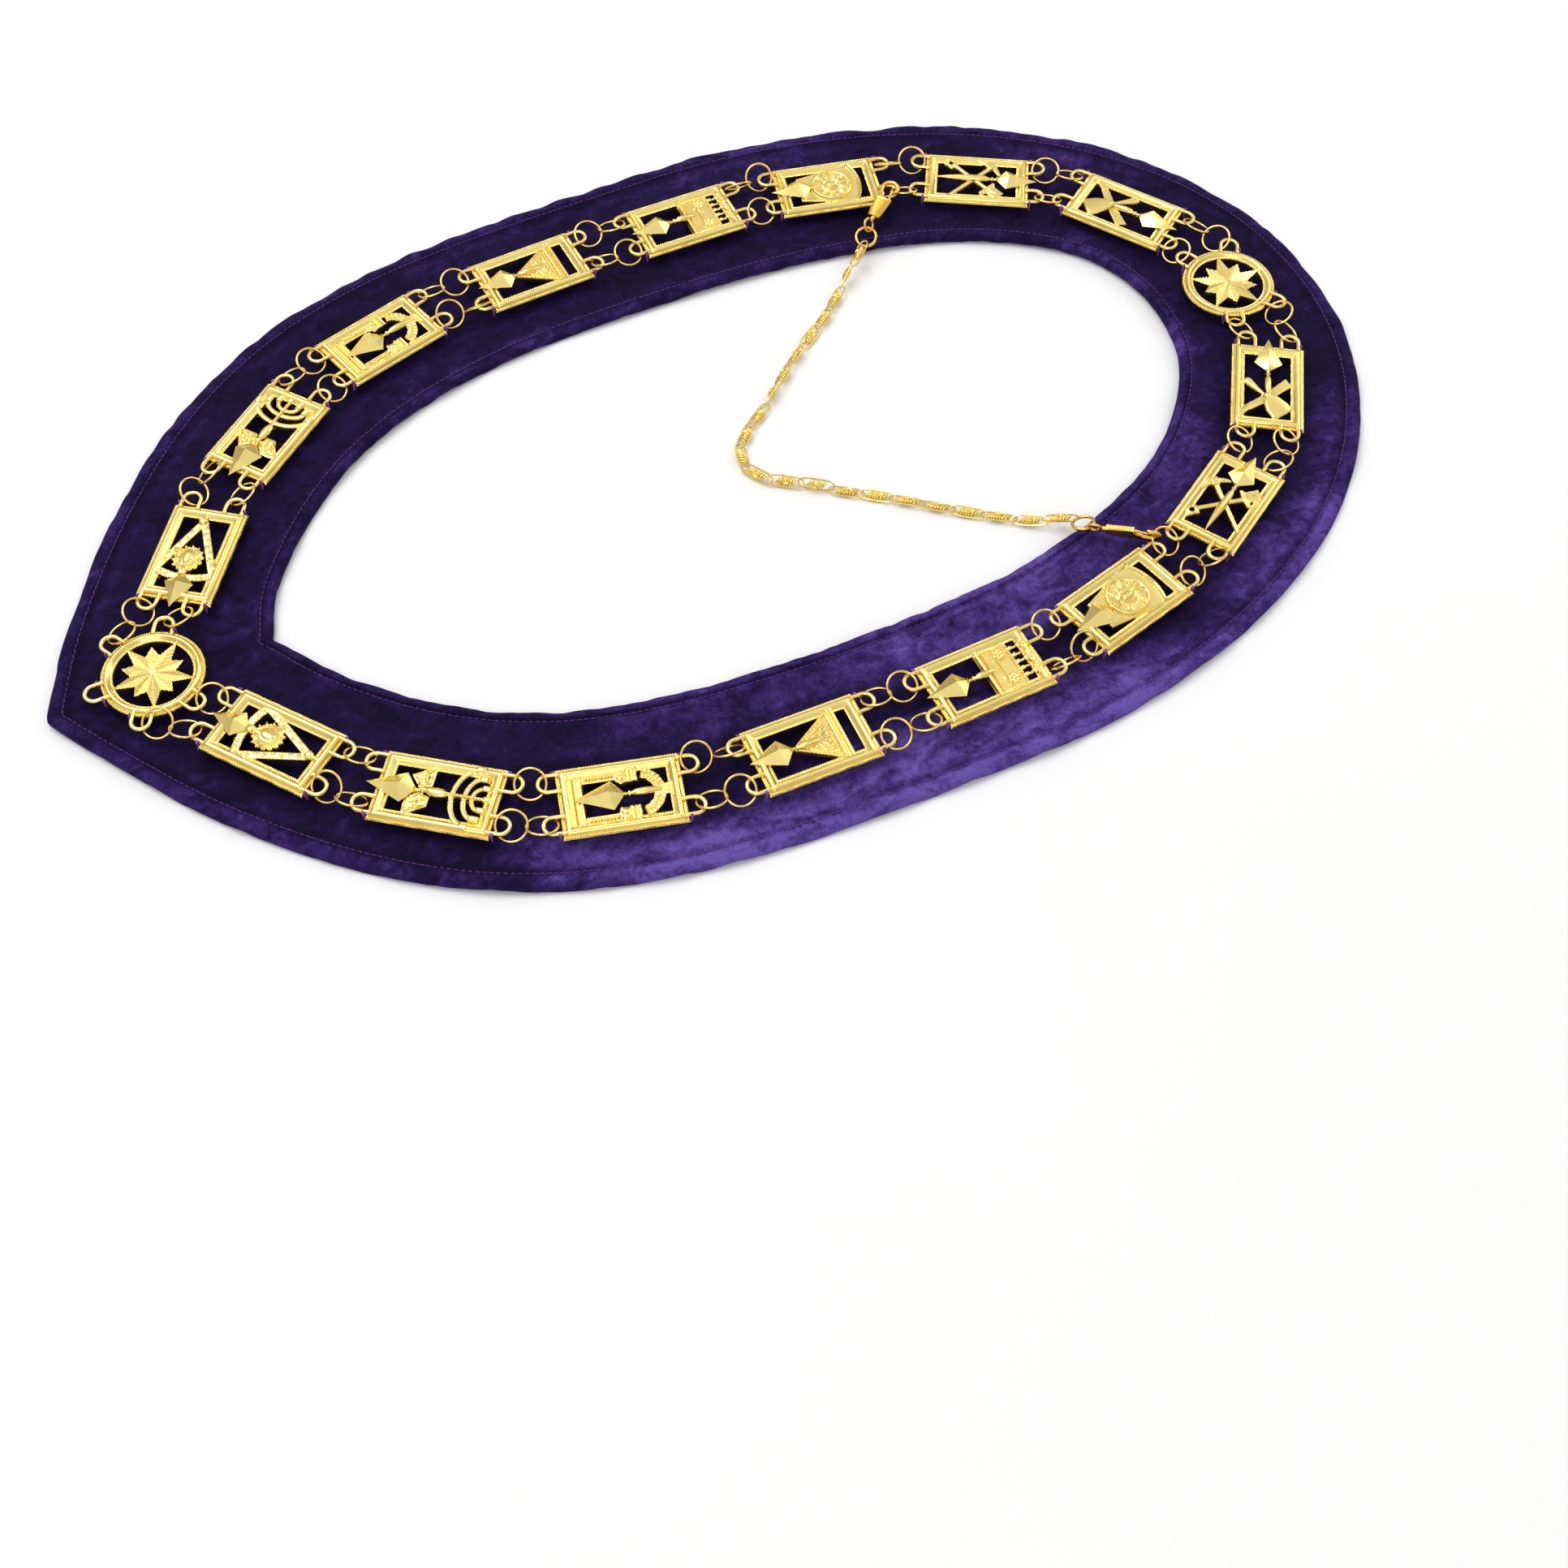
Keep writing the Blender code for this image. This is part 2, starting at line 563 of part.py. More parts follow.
INNER_EDGE = half_curve(LINE_FRONT + INNER_MARGIN_FRONT, LINE_BACK - INNER_MARGIN_BACK,
                        LINE_HALF_WIDTH - INNER_MARGIN_SIDE)
SEAT_HEIGHT = BACKING_THICKNESS + SEAT_GAP
LOOP_LEVEL = SEAT_HEIGHT + LOOP_HEIGHT


def backing():
    """The velvet ring: a rounded section carried round between the outer and the inner edge."""
    pairs = []
    for edge in (OUTER_EDGE, INNER_EDGE):
        lengths = np.linspace(0, arc_lengths(edge)[-1], BACKING_STATIONS)
        pairs.append(at_lengths(edge, lengths))
    outer, inner = pairs
    tip = at_lengths(OUTER_EDGE, [TIP_ROUNDING / 2, TIP_ROUNDING])
    outer = np.concatenate([[[0, tip[0][1] - TIP_ROUNDING / 8]], [tip[1]], outer[1:]])
    inner = np.concatenate([inner[:1], at_lengths(INNER_EDGE, [TIP_ROUNDING / 2]), inner[1:]])
    half = list(zip(outer, inner))
    mirrored = [(outside * (-1, 1), inside * (-1, 1)) for outside, inside in half[-2:0:-1]]
    section = ((1, 0.0), (0, 0.5), (1, 1.0))
    rings = []
    for outside, inside in half + mirrored:
        inward = (inside - outside) / np.linalg.norm(inside - outside)
        ring = []
        for base, sign in ((outside, 1), (inside, -1)):
            for step, level in section if sign > 0 else section[::-1]:
                place = base + sign * inward * BACKING_ROUNDING * step
                ring.append((place[0], place[1], level * BACKING_THICKNESS))
        rings.append(ring)
    return lofted(rings, True)


def on_chain_line(length):
    """Point on the near side's chain line and the direction of travel toward the back."""
    step = 0.5 * MM
    before, here, after = at_lengths(CHAIN_LINE, [length - step, length, length + step])
    return here, math.atan2(after[1] - before[1], after[0] - before[0])


def plate_place(index, side):
    """Location and turn of plate 1 to 8 on the near (+1) or far (-1) side."""
    point, heading = on_chain_line(CASTING_PLACES[index])
    if side < 0:
        heading = math.pi - heading
    return Vector((side * point[0], point[1])), heading


def medallion_place(front):
    return Vector((0, LINE_FRONT if front else LINE_BACK))


# Loops in the world, and the rings that hang in them

def in_world(place, turn, point):
    cosine, sine = math.cos(turn), math.sin(turn)
    return Vector((place.x + point[0] * cosine - point[1] * sine,
                   place.y + point[0] * sine + point[1] * cosine))


def loop_in_world(foot, heading):
    """A loop's edge point and heading give its middle line and the centre of its bend."""
    return [in_world(foot, heading, point) for point in loop_path()], in_world(foot, heading, (LOOP_LEG, 0))


def casting_loop(index, side, end, outer):
    """The loop on casting 0 to 9: end -1 faces the front, +1 the back; outer is the outer string's."""
    if index in (0, len(CASTING_PLACES) - 1):
        front = index == 0
        place = medallion_place(front)
        if front:
            angle = FRONT_OUTER_LOOP_ANGLE if outer else FRONT_LOOP_ANGLE
            heading = math.radians(90 - side * angle)
        else:
            angle = BACK_OUTER_LOOP_ANGLE if outer else BACK_LOOP_ANGLE
            heading = math.radians(270 + side * angle)
        edge = MEDALLION_RADIUS * math.cos(math.pi / MEDALLION_SIDES)
        foot = place + Vector((edge * math.cos(heading), edge * math.sin(heading)))
        return loop_in_world(foot, heading)
    place, turn = plate_place(index, side)
    across = LOOP_SPREAD * (-side if outer else side)
    foot = in_world(place, turn, (end * PLATE_LENGTH / 2, across))
    return loop_in_world(foot, turn if end > 0 else turn + math.pi)


def ring_chord(tilt):
    """How far a leaning ring's middle is from the loops' level, and its half width at that level."""
    radius = (RING_DIAMETER - RING_WIRE) / 2
    lowest = BACKING_THICKNESS + SEAT_GAP + RING_WIRE / 2
    middle = max(LOOP_LEVEL, lowest + radius * math.sin(tilt))
    offset = (middle - LOOP_LEVEL) / math.sin(tilt)
    return offset, math.sqrt(max(radius ** 2 - offset ** 2, 0))


def ring_points(foot, along, lean, tilt, corner):
    """Corners of a ring that crosses the loops' level at foot and again further along."""
    radius = (RING_DIAMETER - RING_WIRE) / 2
    offset, half = ring_chord(tilt)
    side = Vector((-along.y, along.x)) * lean
    rise = Vector((side.x * math.cos(tilt), side.y * math.cos(tilt), math.sin(tilt)))
    forward = Vector((along.x, along.y, 0))
    middle = foot + along * half
    centre = Vector((middle.x, middle.y, LOOP_LEVEL)) + rise * offset
    first = math.atan2(-offset, corner * half)
    angles = [first + 2 * math.pi * i / RING_SIDES for i in range(RING_SIDES)]
    points = [centre + radius * (forward * math.cos(a) + rise * math.sin(a)) for a in angles]
    return points, forward.cross(rise)


def nearest(path, other):
    """The least distance between two polylines, sampled finely."""
    def fine(points):
        points = np.array([tuple(point) for point in points])
        steps = np.linspace(0, 1, 9)[:, None, None]
        return (points[:-1] * (1 - steps) + points[1:] * steps).reshape(-1, 3)
    first, second = fine(path), fine(other)
    return float(np.sqrt(((first[:, None] - second[None]) ** 2).sum(-1).min()))


def string_rings(gap, side, outer, rings, linked, lean, tilt):
    """Corner points and axis of each ring between two loops, at the first tilt that hangs free."""
    path_a, centre_a = casting_loop(gap, side, 1, outer)
    path_b, centre_b = casting_loop(gap + 1, side, -1, outer)
    span = centre_b - centre_a
    along = span.normalized()
    lean = lean * side
    overlap = (RING_WIRE - RING_BITE) * (1 if linked else -1)
    needed = (RING_WIRE + LOOP_WIRE) / 2 + RING_CLEARANCE
    nearest_edge = -LOOP_LEG + RING_WIRE / 2 + RING_CLEARANCE
    lines = [[(point.x, point.y, LOOP_LEVEL) for point in path] for path in (path_a, path_b)]
    found = []
    for degrees in np.arange(tilt, STEEPEST_TILT):
        angle = math.radians(degrees)
        half = ring_chord(angle)[1]
        reach = 2 * half if rings == 1 else 4 * half - overlap
        forward = (span.length - reach) / 2
        start = centre_a + along * forward
        if rings == 1:
            found = [ring_points(start, along, lean, angle, -1)]
        else:
            second = start + along * (2 * half - overlap)
            found = [ring_points(start, along, lean, angle, 1), ring_points(second, along, -lean, angle, -1)]
        clear = min(nearest(points + points[:1], line) for points, _ in found for line in lines)
        if nearest_edge <= forward <= LOOP_RADIUS - needed and clear >= needed:
            return found
    return found


def string(name, *facts):
    """The ring or the two rings between one pair of loops, as one body."""
    rings = [tube(points, RING_WIRE, WIRE_SIDES, True, axis) for points, axis in string_rings(*facts)]
    return fused(name, rings) if len(rings) > 1 else rings[0]


# Clasps and safety chain

def clasp_frame(facts):
    """The clasp's own axes in the world, from its eye."""
    place, turn = plate_place(CLASP_PLATE_INDEX, facts["side"])
    across = facts["side"] * (LOOP_SPREAD + facts["inward"])
    eye = in_world(place, turn, (PLATE_LENGTH / 2 + facts["beyond"], across))
    heading = Matrix.Rotation(turn + math.radians(facts["heading"]), 4, "Z")
    pitch = Matrix.Rotation(-math.radians(facts["pitch"]), 4, "Y")
    return Matrix.Translation((eye.x, eye.y, facts["height"])) @ heading @ pitch


def rolled(angle):
    return Matrix.Rotation(math.radians(angle), 4, "X")


def grip():
    """A fan-shaped body whose sides step in and out in ribs."""
    rib = GRIP_LENGTH / GRIP_RIBS
    outline = []
    for i in range(GRIP_RIBS):
        for share, depth in ((0.0, 0.0), (0.5, 0.0), (0.5, RIB_DEPTH), (1.0, RIB_DEPTH)):
            if i == GRIP_RIBS - 1 and depth > 0:
                continue
            along = (i + share) * rib
            width = GRIP_EYE_WIDTH + (GRIP_HOOK_WIDTH - GRIP_EYE_WIDTH) * math.sqrt(along / GRIP_LENGTH)
            outline.append((GRIP_START + along, width / 2 - depth))
    mirrored = [(x, -y) for x, y in reversed(outline)]
    return prism(outline + mirrored, -CLASP_THICKNESS / 2, CLASP_THICKNESS / 2)


def grip_end():
    return GRIP_START + GRIP_LENGTH - GRIP_LENGTH / GRIP_RIBS / 2


def hook():
    radius = (HOOK_WIDTH - HOOK_WIRE) / 2
    inside = GRIP_HOOK_WIDTH / 2 - HOOK_WIRE / 2 - 2 * RIB_DEPTH
    path = [(grip_end() - HOOK_WIRE, inside, 0), (grip_end() + HOOK_WIRE / 2, inside, 0)]
    path += [(x, y, 0) for x, y in reversed(arc((HOOK_CENTRE, 0), radius, -90, 90, 5))]
    path.append((HOOK_CENTRE - NOSE_LENGTH, -radius, 0))
    return tube(path, HOOK_WIRE, 6, False)


def eye_and_shank():
    radius = (EYE_DIAMETER - EYE_WIRE) / 2
    eye = tube([(x, y, 0) for x, y in arc((0, 0), radius, 0, 324, 9)], EYE_WIRE, WIRE_SIDES, True)
    shank = tube([(radius - EYE_WIRE / 4, 0, 0), (GRIP_START + EYE_WIRE, 0, 0)], EYE_WIRE * 1.4, 6, False)
    return eye, shank


def jump_ring_points(facts):
    """Corners of the jump ring: it passes through the eye and slopes down to the velvet."""
    frame = clasp_frame(facts) @ rolled(facts["eye_roll"])
    hang = (EYE_DIAMETER - EYE_WIRE) / 2 - (EYE_WIRE + JUMP_WIRE) / 2 + JUMP_BITE
    start = frame @ Vector((-hang, 0, 0))
    diameter = JUMP_DIAMETER - JUMP_WIRE
    drop = start.z - (BACKING_THICKNESS + SEAT_GAP + JUMP_WIRE / 2)
    slope = math.asin(drop / diameter)
    heading = plate_place(CLASP_PLATE_INDEX, facts["side"])[1] + math.radians(facts["ring_heading"])
    level = Vector((math.cos(heading), math.sin(heading), 0))
    down = level * math.cos(slope) - Vector((0, 0, math.sin(slope)))
    side = Vector((-math.sin(heading), math.cos(heading), 0))
    centre = start + down * diameter / 2
    points = []
    for i in range(RING_SIDES):
        angle = 2 * math.pi * i / RING_SIDES
        points.append(centre + (side * math.sin(angle) - down * math.cos(angle)) * diameter / 2)
    return points, side.cross(down), centre


def clasp(name, facts):
    eye, shank = eye_and_shank()
    body = clasp_frame(facts) @ rolled(facts["roll"])
    eye.transform(clasp_frame(facts) @ rolled(facts["eye_roll"]))
    pieces = [grip(), hook(), shank]
    for piece in pieces:
        piece.transform(body)
    points, axis, _ = jump_ring_points(facts)
    jump = tube(points, JUMP_WIRE, WIRE_SIDES, True, axis)
    return fused(name, pieces + [eye, jump])


def gate(facts):
    """The sprung lever between the grip and the hook's nose, with its origin on the hinge's axis."""
    radius = (HOOK_WIDTH - HOOK_WIRE) / 2
    hinge = Vector((grip_end() + GATE_WIRE / 2 + PART_GAP, -GRIP_HOOK_WIDTH / 2 + GATE_WIRE, 0))
    nose = Vector((HOOK_CENTRE - NOSE_LENGTH, -radius + HOOK_WIRE / 2 + PART_GAP + GATE_WIRE / 2, 0))
    rest = nose + Vector((NOSE_LENGTH * 0.8, 0, 0))
    path = [Vector((0, 0, 0)), nose - hinge - Vector((GATE_WIRE, 0, 0)), rest - hinge]
    mesh = tube(path, GATE_WIRE, 6, False)
    return mesh, clasp_frame(facts) @ rolled(facts["roll"]) @ Matrix.Translation(hinge)


def chain_path():
    """The chain's middle line, from one jump ring to the other, in even steps."""
    rise = BACKING_THICKNESS + SEAT_GAP
    middle = [(x * LINE_LENGTH, y * LINE_LENGTH, CHAIN_WIDTH / 2 + lift * rise) for x, y, lift in CHAIN_ROUTE]
    ends = []
    for facts, first in ((FAR, middle[0]), (NEAR, middle[-1])):
        _, axis, centre = jump_ring_points(facts)
        ahead = Vector(first) - centre
        ahead = (ahead - axis * ahead.dot(axis)).normalized()
        end = centre + ahead * (JUMP_DIAMETER / 2 + CHAIN_END_GAP)
        ends.append((end.x, end.y, rise + CHAIN_WIDTH / 2))
    knots = np.array([ends[0]] + middle + [ends[1]])
    padded = np.concatenate([[2 * knots[0] - knots[1]], knots, [2 * knots[-1] - knots[-2]]])
    fine = []
    for i in range(1, len(padded) - 2):
        a, b, c, d = padded[i - 1:i + 3]
        for t in np.linspace(0, 1, 20, endpoint=False):
            fine.append(b + 0.5 * t * (c - a + t * (2 * a - 5 * b + 4 * c - d + t * (3 * (b - c) + d - a))))
    fine.append(knots[-1])
    fine = np.array(fine)
    fine[:, 2] = np.maximum(fine[:, 2], CHAIN_WIDTH / 2)
    lengths = np.concatenate([[0], np.cumsum(np.linalg.norm(np.diff(fine, axis=0), axis=1))])
    wanted = np.linspace(0, lengths[-1], round(lengths[-1] / CHAIN_STEP) + 1)
    return np.stack([np.interp(wanted, lengths, fine[:, k]) for k in range(3)], axis=1)


def chain():
    curve = bpy.data.curves.new("safety_chain", "CURVE")
    curve.dimensions = "3D"
    curve.bevel_depth = CHAIN_WIDTH / 2
    curve.bevel_resolution = 2
    curve.use_fill_caps = True
    line = curve.splines.new("POLY")
    points = chain_path()
    line.points.add(len(points) - 1)
    for corner, place in zip(line.points, points):
        corner.co = (*place, 1.0)
    curve.materials.append(material(CLASP_GOLD))
    item = bpy.data.objects.new("safety_chain", curve)
    bpy.context.scene.collection.objects.link(item)


NEAR = dict(zip(CLASP_COLUMNS, NEAR_CLASP))
FAR = dict(zip(CLASP_COLUMNS, FAR_CLASP))


def build():
    clear_scene()
    placed("backing", backing(), VELVET)
    for front in (True, False):
        name = "front_medallion" if front else "back_medallion"
        if front:
            pair = (FRONT_LOOP_ANGLE, FRONT_OUTER_LOOP_ANGLE)
            angles = [90 - side * angle for side in (-1, 1) for angle in pair] + [90 - FRONT_DROP_LOOP_ANGLE]
            mesh = medallion(name, 90 - 33, angles)
        else:
            pair = (BACK_LOOP_ANGLE, BACK_OUTER_LOOP_ANGLE)
            angles = [270 + side * angle for side in (-1, 1) for angle in pair]
            mesh = medallion(name, 90 + 3, angles)
        place = medallion_place(front)
        placed(name, mesh, GOLD, (place.x, place.y, SEAT_HEIGHT))
    for index, design in enumerate(DESIGNS, start=1):
        mesh = plate_mesh(design)
        for side, word in ((1, "near"), (-1, "far")):
            place, turn = plate_place(index, side)
            placed(f"plate_{index}_{word}", mesh, GOLD, (place.x, place.y, SEAT_HEIGHT), turn)
    for side, word, rows in ((1, "near", NEAR_STRINGS), (-1, "far", FAR_STRINGS)):
        for gap, row in enumerate(rows):
            facts = dict(zip(STRING_COLUMNS, row))
            for outer, where in ((False, "inner"), (True, "outer")):
                name = f"rings_{gap}_{gap + 1}_{word}_{where}"
                mesh = string(name, gap, side, outer, *(facts[f"{where}_{fact}"] for fact in
                                                        ("rings", "linked", "lean", "tilt")))
                placed(name, mesh, GOLD)
    for word, facts in (("near", NEAR), ("far", FAR)):
        placed(f"clasp_{word}", clasp(f"clasp_{word}", facts), CLASP_GOLD)
        mesh, frame = gate(facts)
        lever = placed(f"clasp_{word}_gate", mesh, CLASP_GOLD)
        lever.matrix_world = frame
    chain()


build()
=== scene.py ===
# The looks of a chain collar: cast openwork plates and two star medallions on a padded velvet ring,
# with jump rings, thread ties and a safety chain with two snap clasps. Metres, +Z up, front toward -Y.

import math

import bmesh
import bpy
import numpy as np
from mathutils import Matrix, Vector


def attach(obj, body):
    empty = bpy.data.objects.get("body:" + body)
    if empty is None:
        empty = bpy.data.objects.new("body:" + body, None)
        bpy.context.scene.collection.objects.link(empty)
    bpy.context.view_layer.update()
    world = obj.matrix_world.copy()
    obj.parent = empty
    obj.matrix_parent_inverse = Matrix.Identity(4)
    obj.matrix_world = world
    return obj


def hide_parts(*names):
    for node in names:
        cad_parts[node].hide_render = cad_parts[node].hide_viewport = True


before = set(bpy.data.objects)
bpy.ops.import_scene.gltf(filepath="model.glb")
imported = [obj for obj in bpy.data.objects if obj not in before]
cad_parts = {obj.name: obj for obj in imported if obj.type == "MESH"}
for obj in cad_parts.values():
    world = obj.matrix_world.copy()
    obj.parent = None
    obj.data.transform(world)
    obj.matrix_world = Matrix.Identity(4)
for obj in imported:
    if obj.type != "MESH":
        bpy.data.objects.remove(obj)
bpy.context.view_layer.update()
MM = 0.001
MAIN = "collar"
random = np.random.default_rng(8)


SIDES = ((1, "near"), (-1, "far"))

# Sizes shared with the solids, in metres

PLATE_LENGTH = 45.0 * MM
PLATE_WIDTH = 29.5 * MM
LOOP_REACH = 6.8 * MM
LOOP_WIDTH = 9.8 * MM
LOOP_WIRE = 1.45 * MM
LOOP_SPREAD = 8.8 * MM
LOOP_HEIGHT = 3.5 * MM
LOOP_RADIUS = (LOOP_WIDTH - LOOP_WIRE) / 2
LOOP_LEG = LOOP_REACH - LOOP_WIRE / 2 - LOOP_RADIUS
LOOP_ROOT = 1.5 * MM            # how far a loop's legs go into the casting
LOOP_BENDS = 3
MEDALLION_RADIUS = 19.25 * MM
MEDALLION_SIDES = 20
MEDALLION_EDGE = MEDALLION_RADIUS * math.cos(math.pi / MEDALLION_SIDES)
# Degrees from the other medallion's direction to the inner and the outer string's loop
FRONT_LOOP_ANGLES = (62.0, 118.0)
BACK_LOOP_ANGLES = (65.0, 123.0)
DROP_LOOP_ANGLE = 180.0
RING_DIAMETER = 12.4 * MM
RING_WIRE = 1.0 * MM
RING_CLEARANCE = 0.12 * MM
RING_BITE = 0.35 * MM
RING_RADIUS = (RING_DIAMETER - RING_WIRE) / 2
RING_CORNERS = 10
STEEPEST_TILT = 76              # degrees
PLATE_GAP = 20.3 * MM
SNUG_GAP = 20.0 * MM
WIDE_GAP = 26.0 * MM
FRONT_GAP = 14.5 * MM
BACK_GAP = 18.5 * MM
GAPS = (FRONT_GAP, PLATE_GAP, PLATE_GAP, WIDE_GAP, WIDE_GAP, SNUG_GAP, PLATE_GAP, PLATE_GAP, BACK_GAP)
LINE_SLENDERNESS = 0.2865
LINE_WIDEST = 0.577
FRONT_FULLNESS = 3.75
BACK_FULLNESS = 2.06
CURVE_SAMPLES = 400
BACKING_THICKNESS = 5.0 * MM
OUTER_MARGINS = (41.5 * MM, 37.5 * MM, 36.0 * MM)       # front, side, back
INNER_MARGINS = (42.5 * MM, 40.0 * MM, 36.0 * MM)
SEAT_HEIGHT = BACKING_THICKNESS + 0.3 * MM
LOOP_LEVEL = SEAT_HEIGHT + LOOP_HEIGHT

CLASP_THICKNESS = 3.2 * MM
GRIP_START = 4.4 * MM
GRIP_LENGTH = 10.6 * MM
GRIP_EYE_WIDTH = 4.4 * MM
GRIP_HOOK_WIDTH = 7.6 * MM
GRIP_RIBS = 5
RIB_DEPTH = 0.35 * MM
EYE_DIAMETER = 6.6 * MM
EYE_WIRE = 1.3 * MM
HOOK_CENTRE = 21.6 * MM
HOOK_WIDTH = 8.6 * MM
HOOK_WIRE = 1.9 * MM
NOSE_LENGTH = 1.6 * MM
GATE_WIRE = 1.3 * MM
JUMP_DIAMETER = 9.8 * MM
JUMP_WIRE = 1.3 * MM
JUMP_BITE = 0.15 * MM
PART_GAP = 0.3 * MM
CLASP_PLATE_INDEX = 6
CLASP_COLUMNS = ("side", "beyond", "inward", "height", "heading", "pitch", "roll", "eye_roll", "ring_heading")
NEAR = dict(zip(CLASP_COLUMNS, (1, -7.5 * MM, 22.9 * MM, 9.0 * MM, -52.15, 3.0, -70.0, -70.0, 86.1)))
FAR = dict(zip(CLASP_COLUMNS, (-1, -10.9 * MM, 19.15 * MM, 9.3 * MM, 51.75, 8.0, 0.0, 60.0, -110.1)))

# The safety chain's way from the far end to the near one: x and y as shares of the chain line's
# length, and how far it is still lifted from the floor to the velvet's top
CHAIN_ROUTE = (
    (-0.1785, 0.2222, 0.95), (-0.172, 0.212, 0.65), (-0.162, 0.200, 0.22), (-0.146, 0.181, 0.0),
    (-0.129, 0.161, 0.0), (-0.097, 0.116, 0.0), (-0.062, 0.075, 0.0), (-0.037, 0.041, 0.0),
    (-0.015, 0.026, 0.0), (-0.004, 0.025, 0.0), (0.011, 0.028, 0.0), (0.028, 0.049, 0.0),
    (0.052, 0.082, 0.0), (0.086, 0.127, 0.0), (0.120, 0.168, 0.0), (0.143, 0.199, 0.0),
    (0.155, 0.214, 0.10), (0.163, 0.227, 0.45), (0.169, 0.238, 0.85),
)

# Ring strings, front to back: how many rings, whether a pair is linked, on which side of the
# string's line the first ring stands up, and the least tilt in degrees
NEAR_STRINGS = (
    # inner string's four values, outer string's four values
    (1, True, 1, 25, 2, True, 1, 25),
    (1, True, -1, 25, 2, True, 1, 25),
    (1, True, 1, 25, 2, True, 1, 25),
    (2, False, 1, 25, 2, True, -1, 25),
    (2, True, -1, 25, 2, False, 1, 25),
    (1, True, 1, 25, 2, True, -1, 25),
    (1, True, 1, 30, 2, True, 1, 25),
    (1, True, 1, 25, 2, True, -1, 25),
    (1, True, 1, 25, 2, True, 1, 25),
)
FAR_STRINGS = (
    (1, True, 1, 25, 2, True, 1, 25),
    (1, True, 1, 25, 2, True, -1, 25),
    (1, True, -1, 25, 2, True, 1, 25),
    (2, False, -1, 25, 2, True, 1, 25),
    (2, True, 1, 25, 2, True, -1, 25),
    (1, True, -1, 25, 2, True, 1, 25),
    (1, True, 1, 25, 2, True, 1, 25),
    (1, True, 1, 25, 2, True, -1, 25),
    (1, True, -1, 25, 2, True, 1, 25),
)


# The chain line and the places on it, as the solids have them

def half_curve(front, back, half_width):
    """Half an outline from its front point to its back point, as (across, along) pairs."""
    widest = front + LINE_WIDEST * (back - front)
    run = np.linspace(1, 0, CURVE_SAMPLES)
    turn = np.linspace(0, math.pi / 2, CURVE_SAMPLES)[1:]
    across = np.concatenate([half_width * (1 - run ** FRONT_FULLNESS),
                             half_width * np.cos(turn) ** (2 / BACK_FULLNESS)])
    along = np.concatenate([widest - run * (widest - front),
                            widest + (back - widest) * np.sin(turn) ** (2 / BACK_FULLNESS)])
    across[-1] = 0.0
    return np.stack([across, along], axis=1)


def arc_lengths(curve):
    return np.concatenate([[0], np.cumsum(np.linalg.norm(np.diff(curve, axis=0), axis=1))])


def at_lengths(curve, wanted):
    lengths = arc_lengths(curve)
    return np.stack([np.interp(wanted, lengths, curve[:, k]) for k in range(curve.shape[1])], axis=1)


def casting_places():
    places = [0.0]
    for i, gap in enumerate(GAPS):
        before = MEDALLION_RADIUS if i == 0 else PLATE_LENGTH / 2
        after = MEDALLION_RADIUS if i == len(GAPS) - 1 else PLATE_LENGTH / 2
        places.append(places[-1] + before + gap + after)
    return places


CASTING_PLACES = casting_places()
UNIT_LINE = half_curve(-LINE_WIDEST, 1 - LINE_WIDEST, LINE_SLENDERNESS)
LINE_LENGTH = CASTING_PLACES[-1] / arc_lengths(UNIT_LINE)[-1]
LINE_HALF_WIDTH = LINE_SLENDERNESS * LINE_LENGTH
BACKING_LENGTH = LINE_LENGTH + OUTER_MARGINS[0] + OUTER_MARGINS[2]
LINE_FRONT = -BACKING_LENGTH / 2 + OUTER_MARGINS[0]
LINE_BACK = BACKING_LENGTH / 2 - OUTER_MARGINS[2]
CHAIN_LINE = half_curve(LINE_FRONT, LINE_BACK, LINE_HALF_WIDTH)
OUTER_EDGE = half_curve(LINE_FRONT - OUTER_MARGINS[0], LINE_BACK + OUTER_MARGINS[2],
                        LINE_HALF_WIDTH + OUTER_MARGINS[1])
INNER_EDGE = half_curve(LINE_FRONT + INNER_MARGINS[0], LINE_BACK - INNER_MARGINS[2],
                        LINE_HALF_WIDTH - INNER_MARGINS[1])


def plate_place(index, side):
    """Location and turn of plate 1 to 8 on the near (+1) or far (-1) side."""
    step = 0.5 * MM
    length = CASTING_PLACES[index]
    before, here, after = at_lengths(CHAIN_LINE, [length - step, length, length + step])
    heading = math.atan2(after[1] - before[1], after[0] - before[0])
    return Vector((side * here[0], here[1])), heading if side > 0 else math.pi - heading


def medallion_place(front):
    return Vector((0, LINE_FRONT if front else LINE_BACK))


def in_world(place, turn, point):
    cosine, sine = math.cos(turn), math.sin(turn)
    return Vector((place.x + point[0] * cosine - point[1] * sine,
                   place.y + point[0] * sine + point[1] * cosine))


def stood(place, height, heading):
    """The matrix that stands a form at a place, turned about the upright."""
    return Matrix.Translation((place[0], place[1], height)) @ Matrix.Rotation(heading, 4, "Z")


def on_circle(centre, radius, angle):
    return centre[0] + radius * math.cos(angle), centre[1] + radius * math.sin(angle)


def arc(centre, radius, first, last, steps):
    """Points from one angle to another, in degrees."""
    return [on_circle(centre, radius, a) for a in np.radians(np.linspace(first, last, steps + 1))]


def loop_path():
    ends = [(-LOOP_ROOT, -LOOP_RADIUS)], [(-LOOP_ROOT, LOOP_RADIUS)]
    return ends[0] + arc((LOOP_LEG, 0), LOOP_RADIUS, -90, 90, LOOP_BENDS) + ends[1]


def loop_in_world(foot, heading):
    return [in_world(foot, heading, point) for point in loop_path()], in_world(foot, heading, (LOOP_LEG, 0))


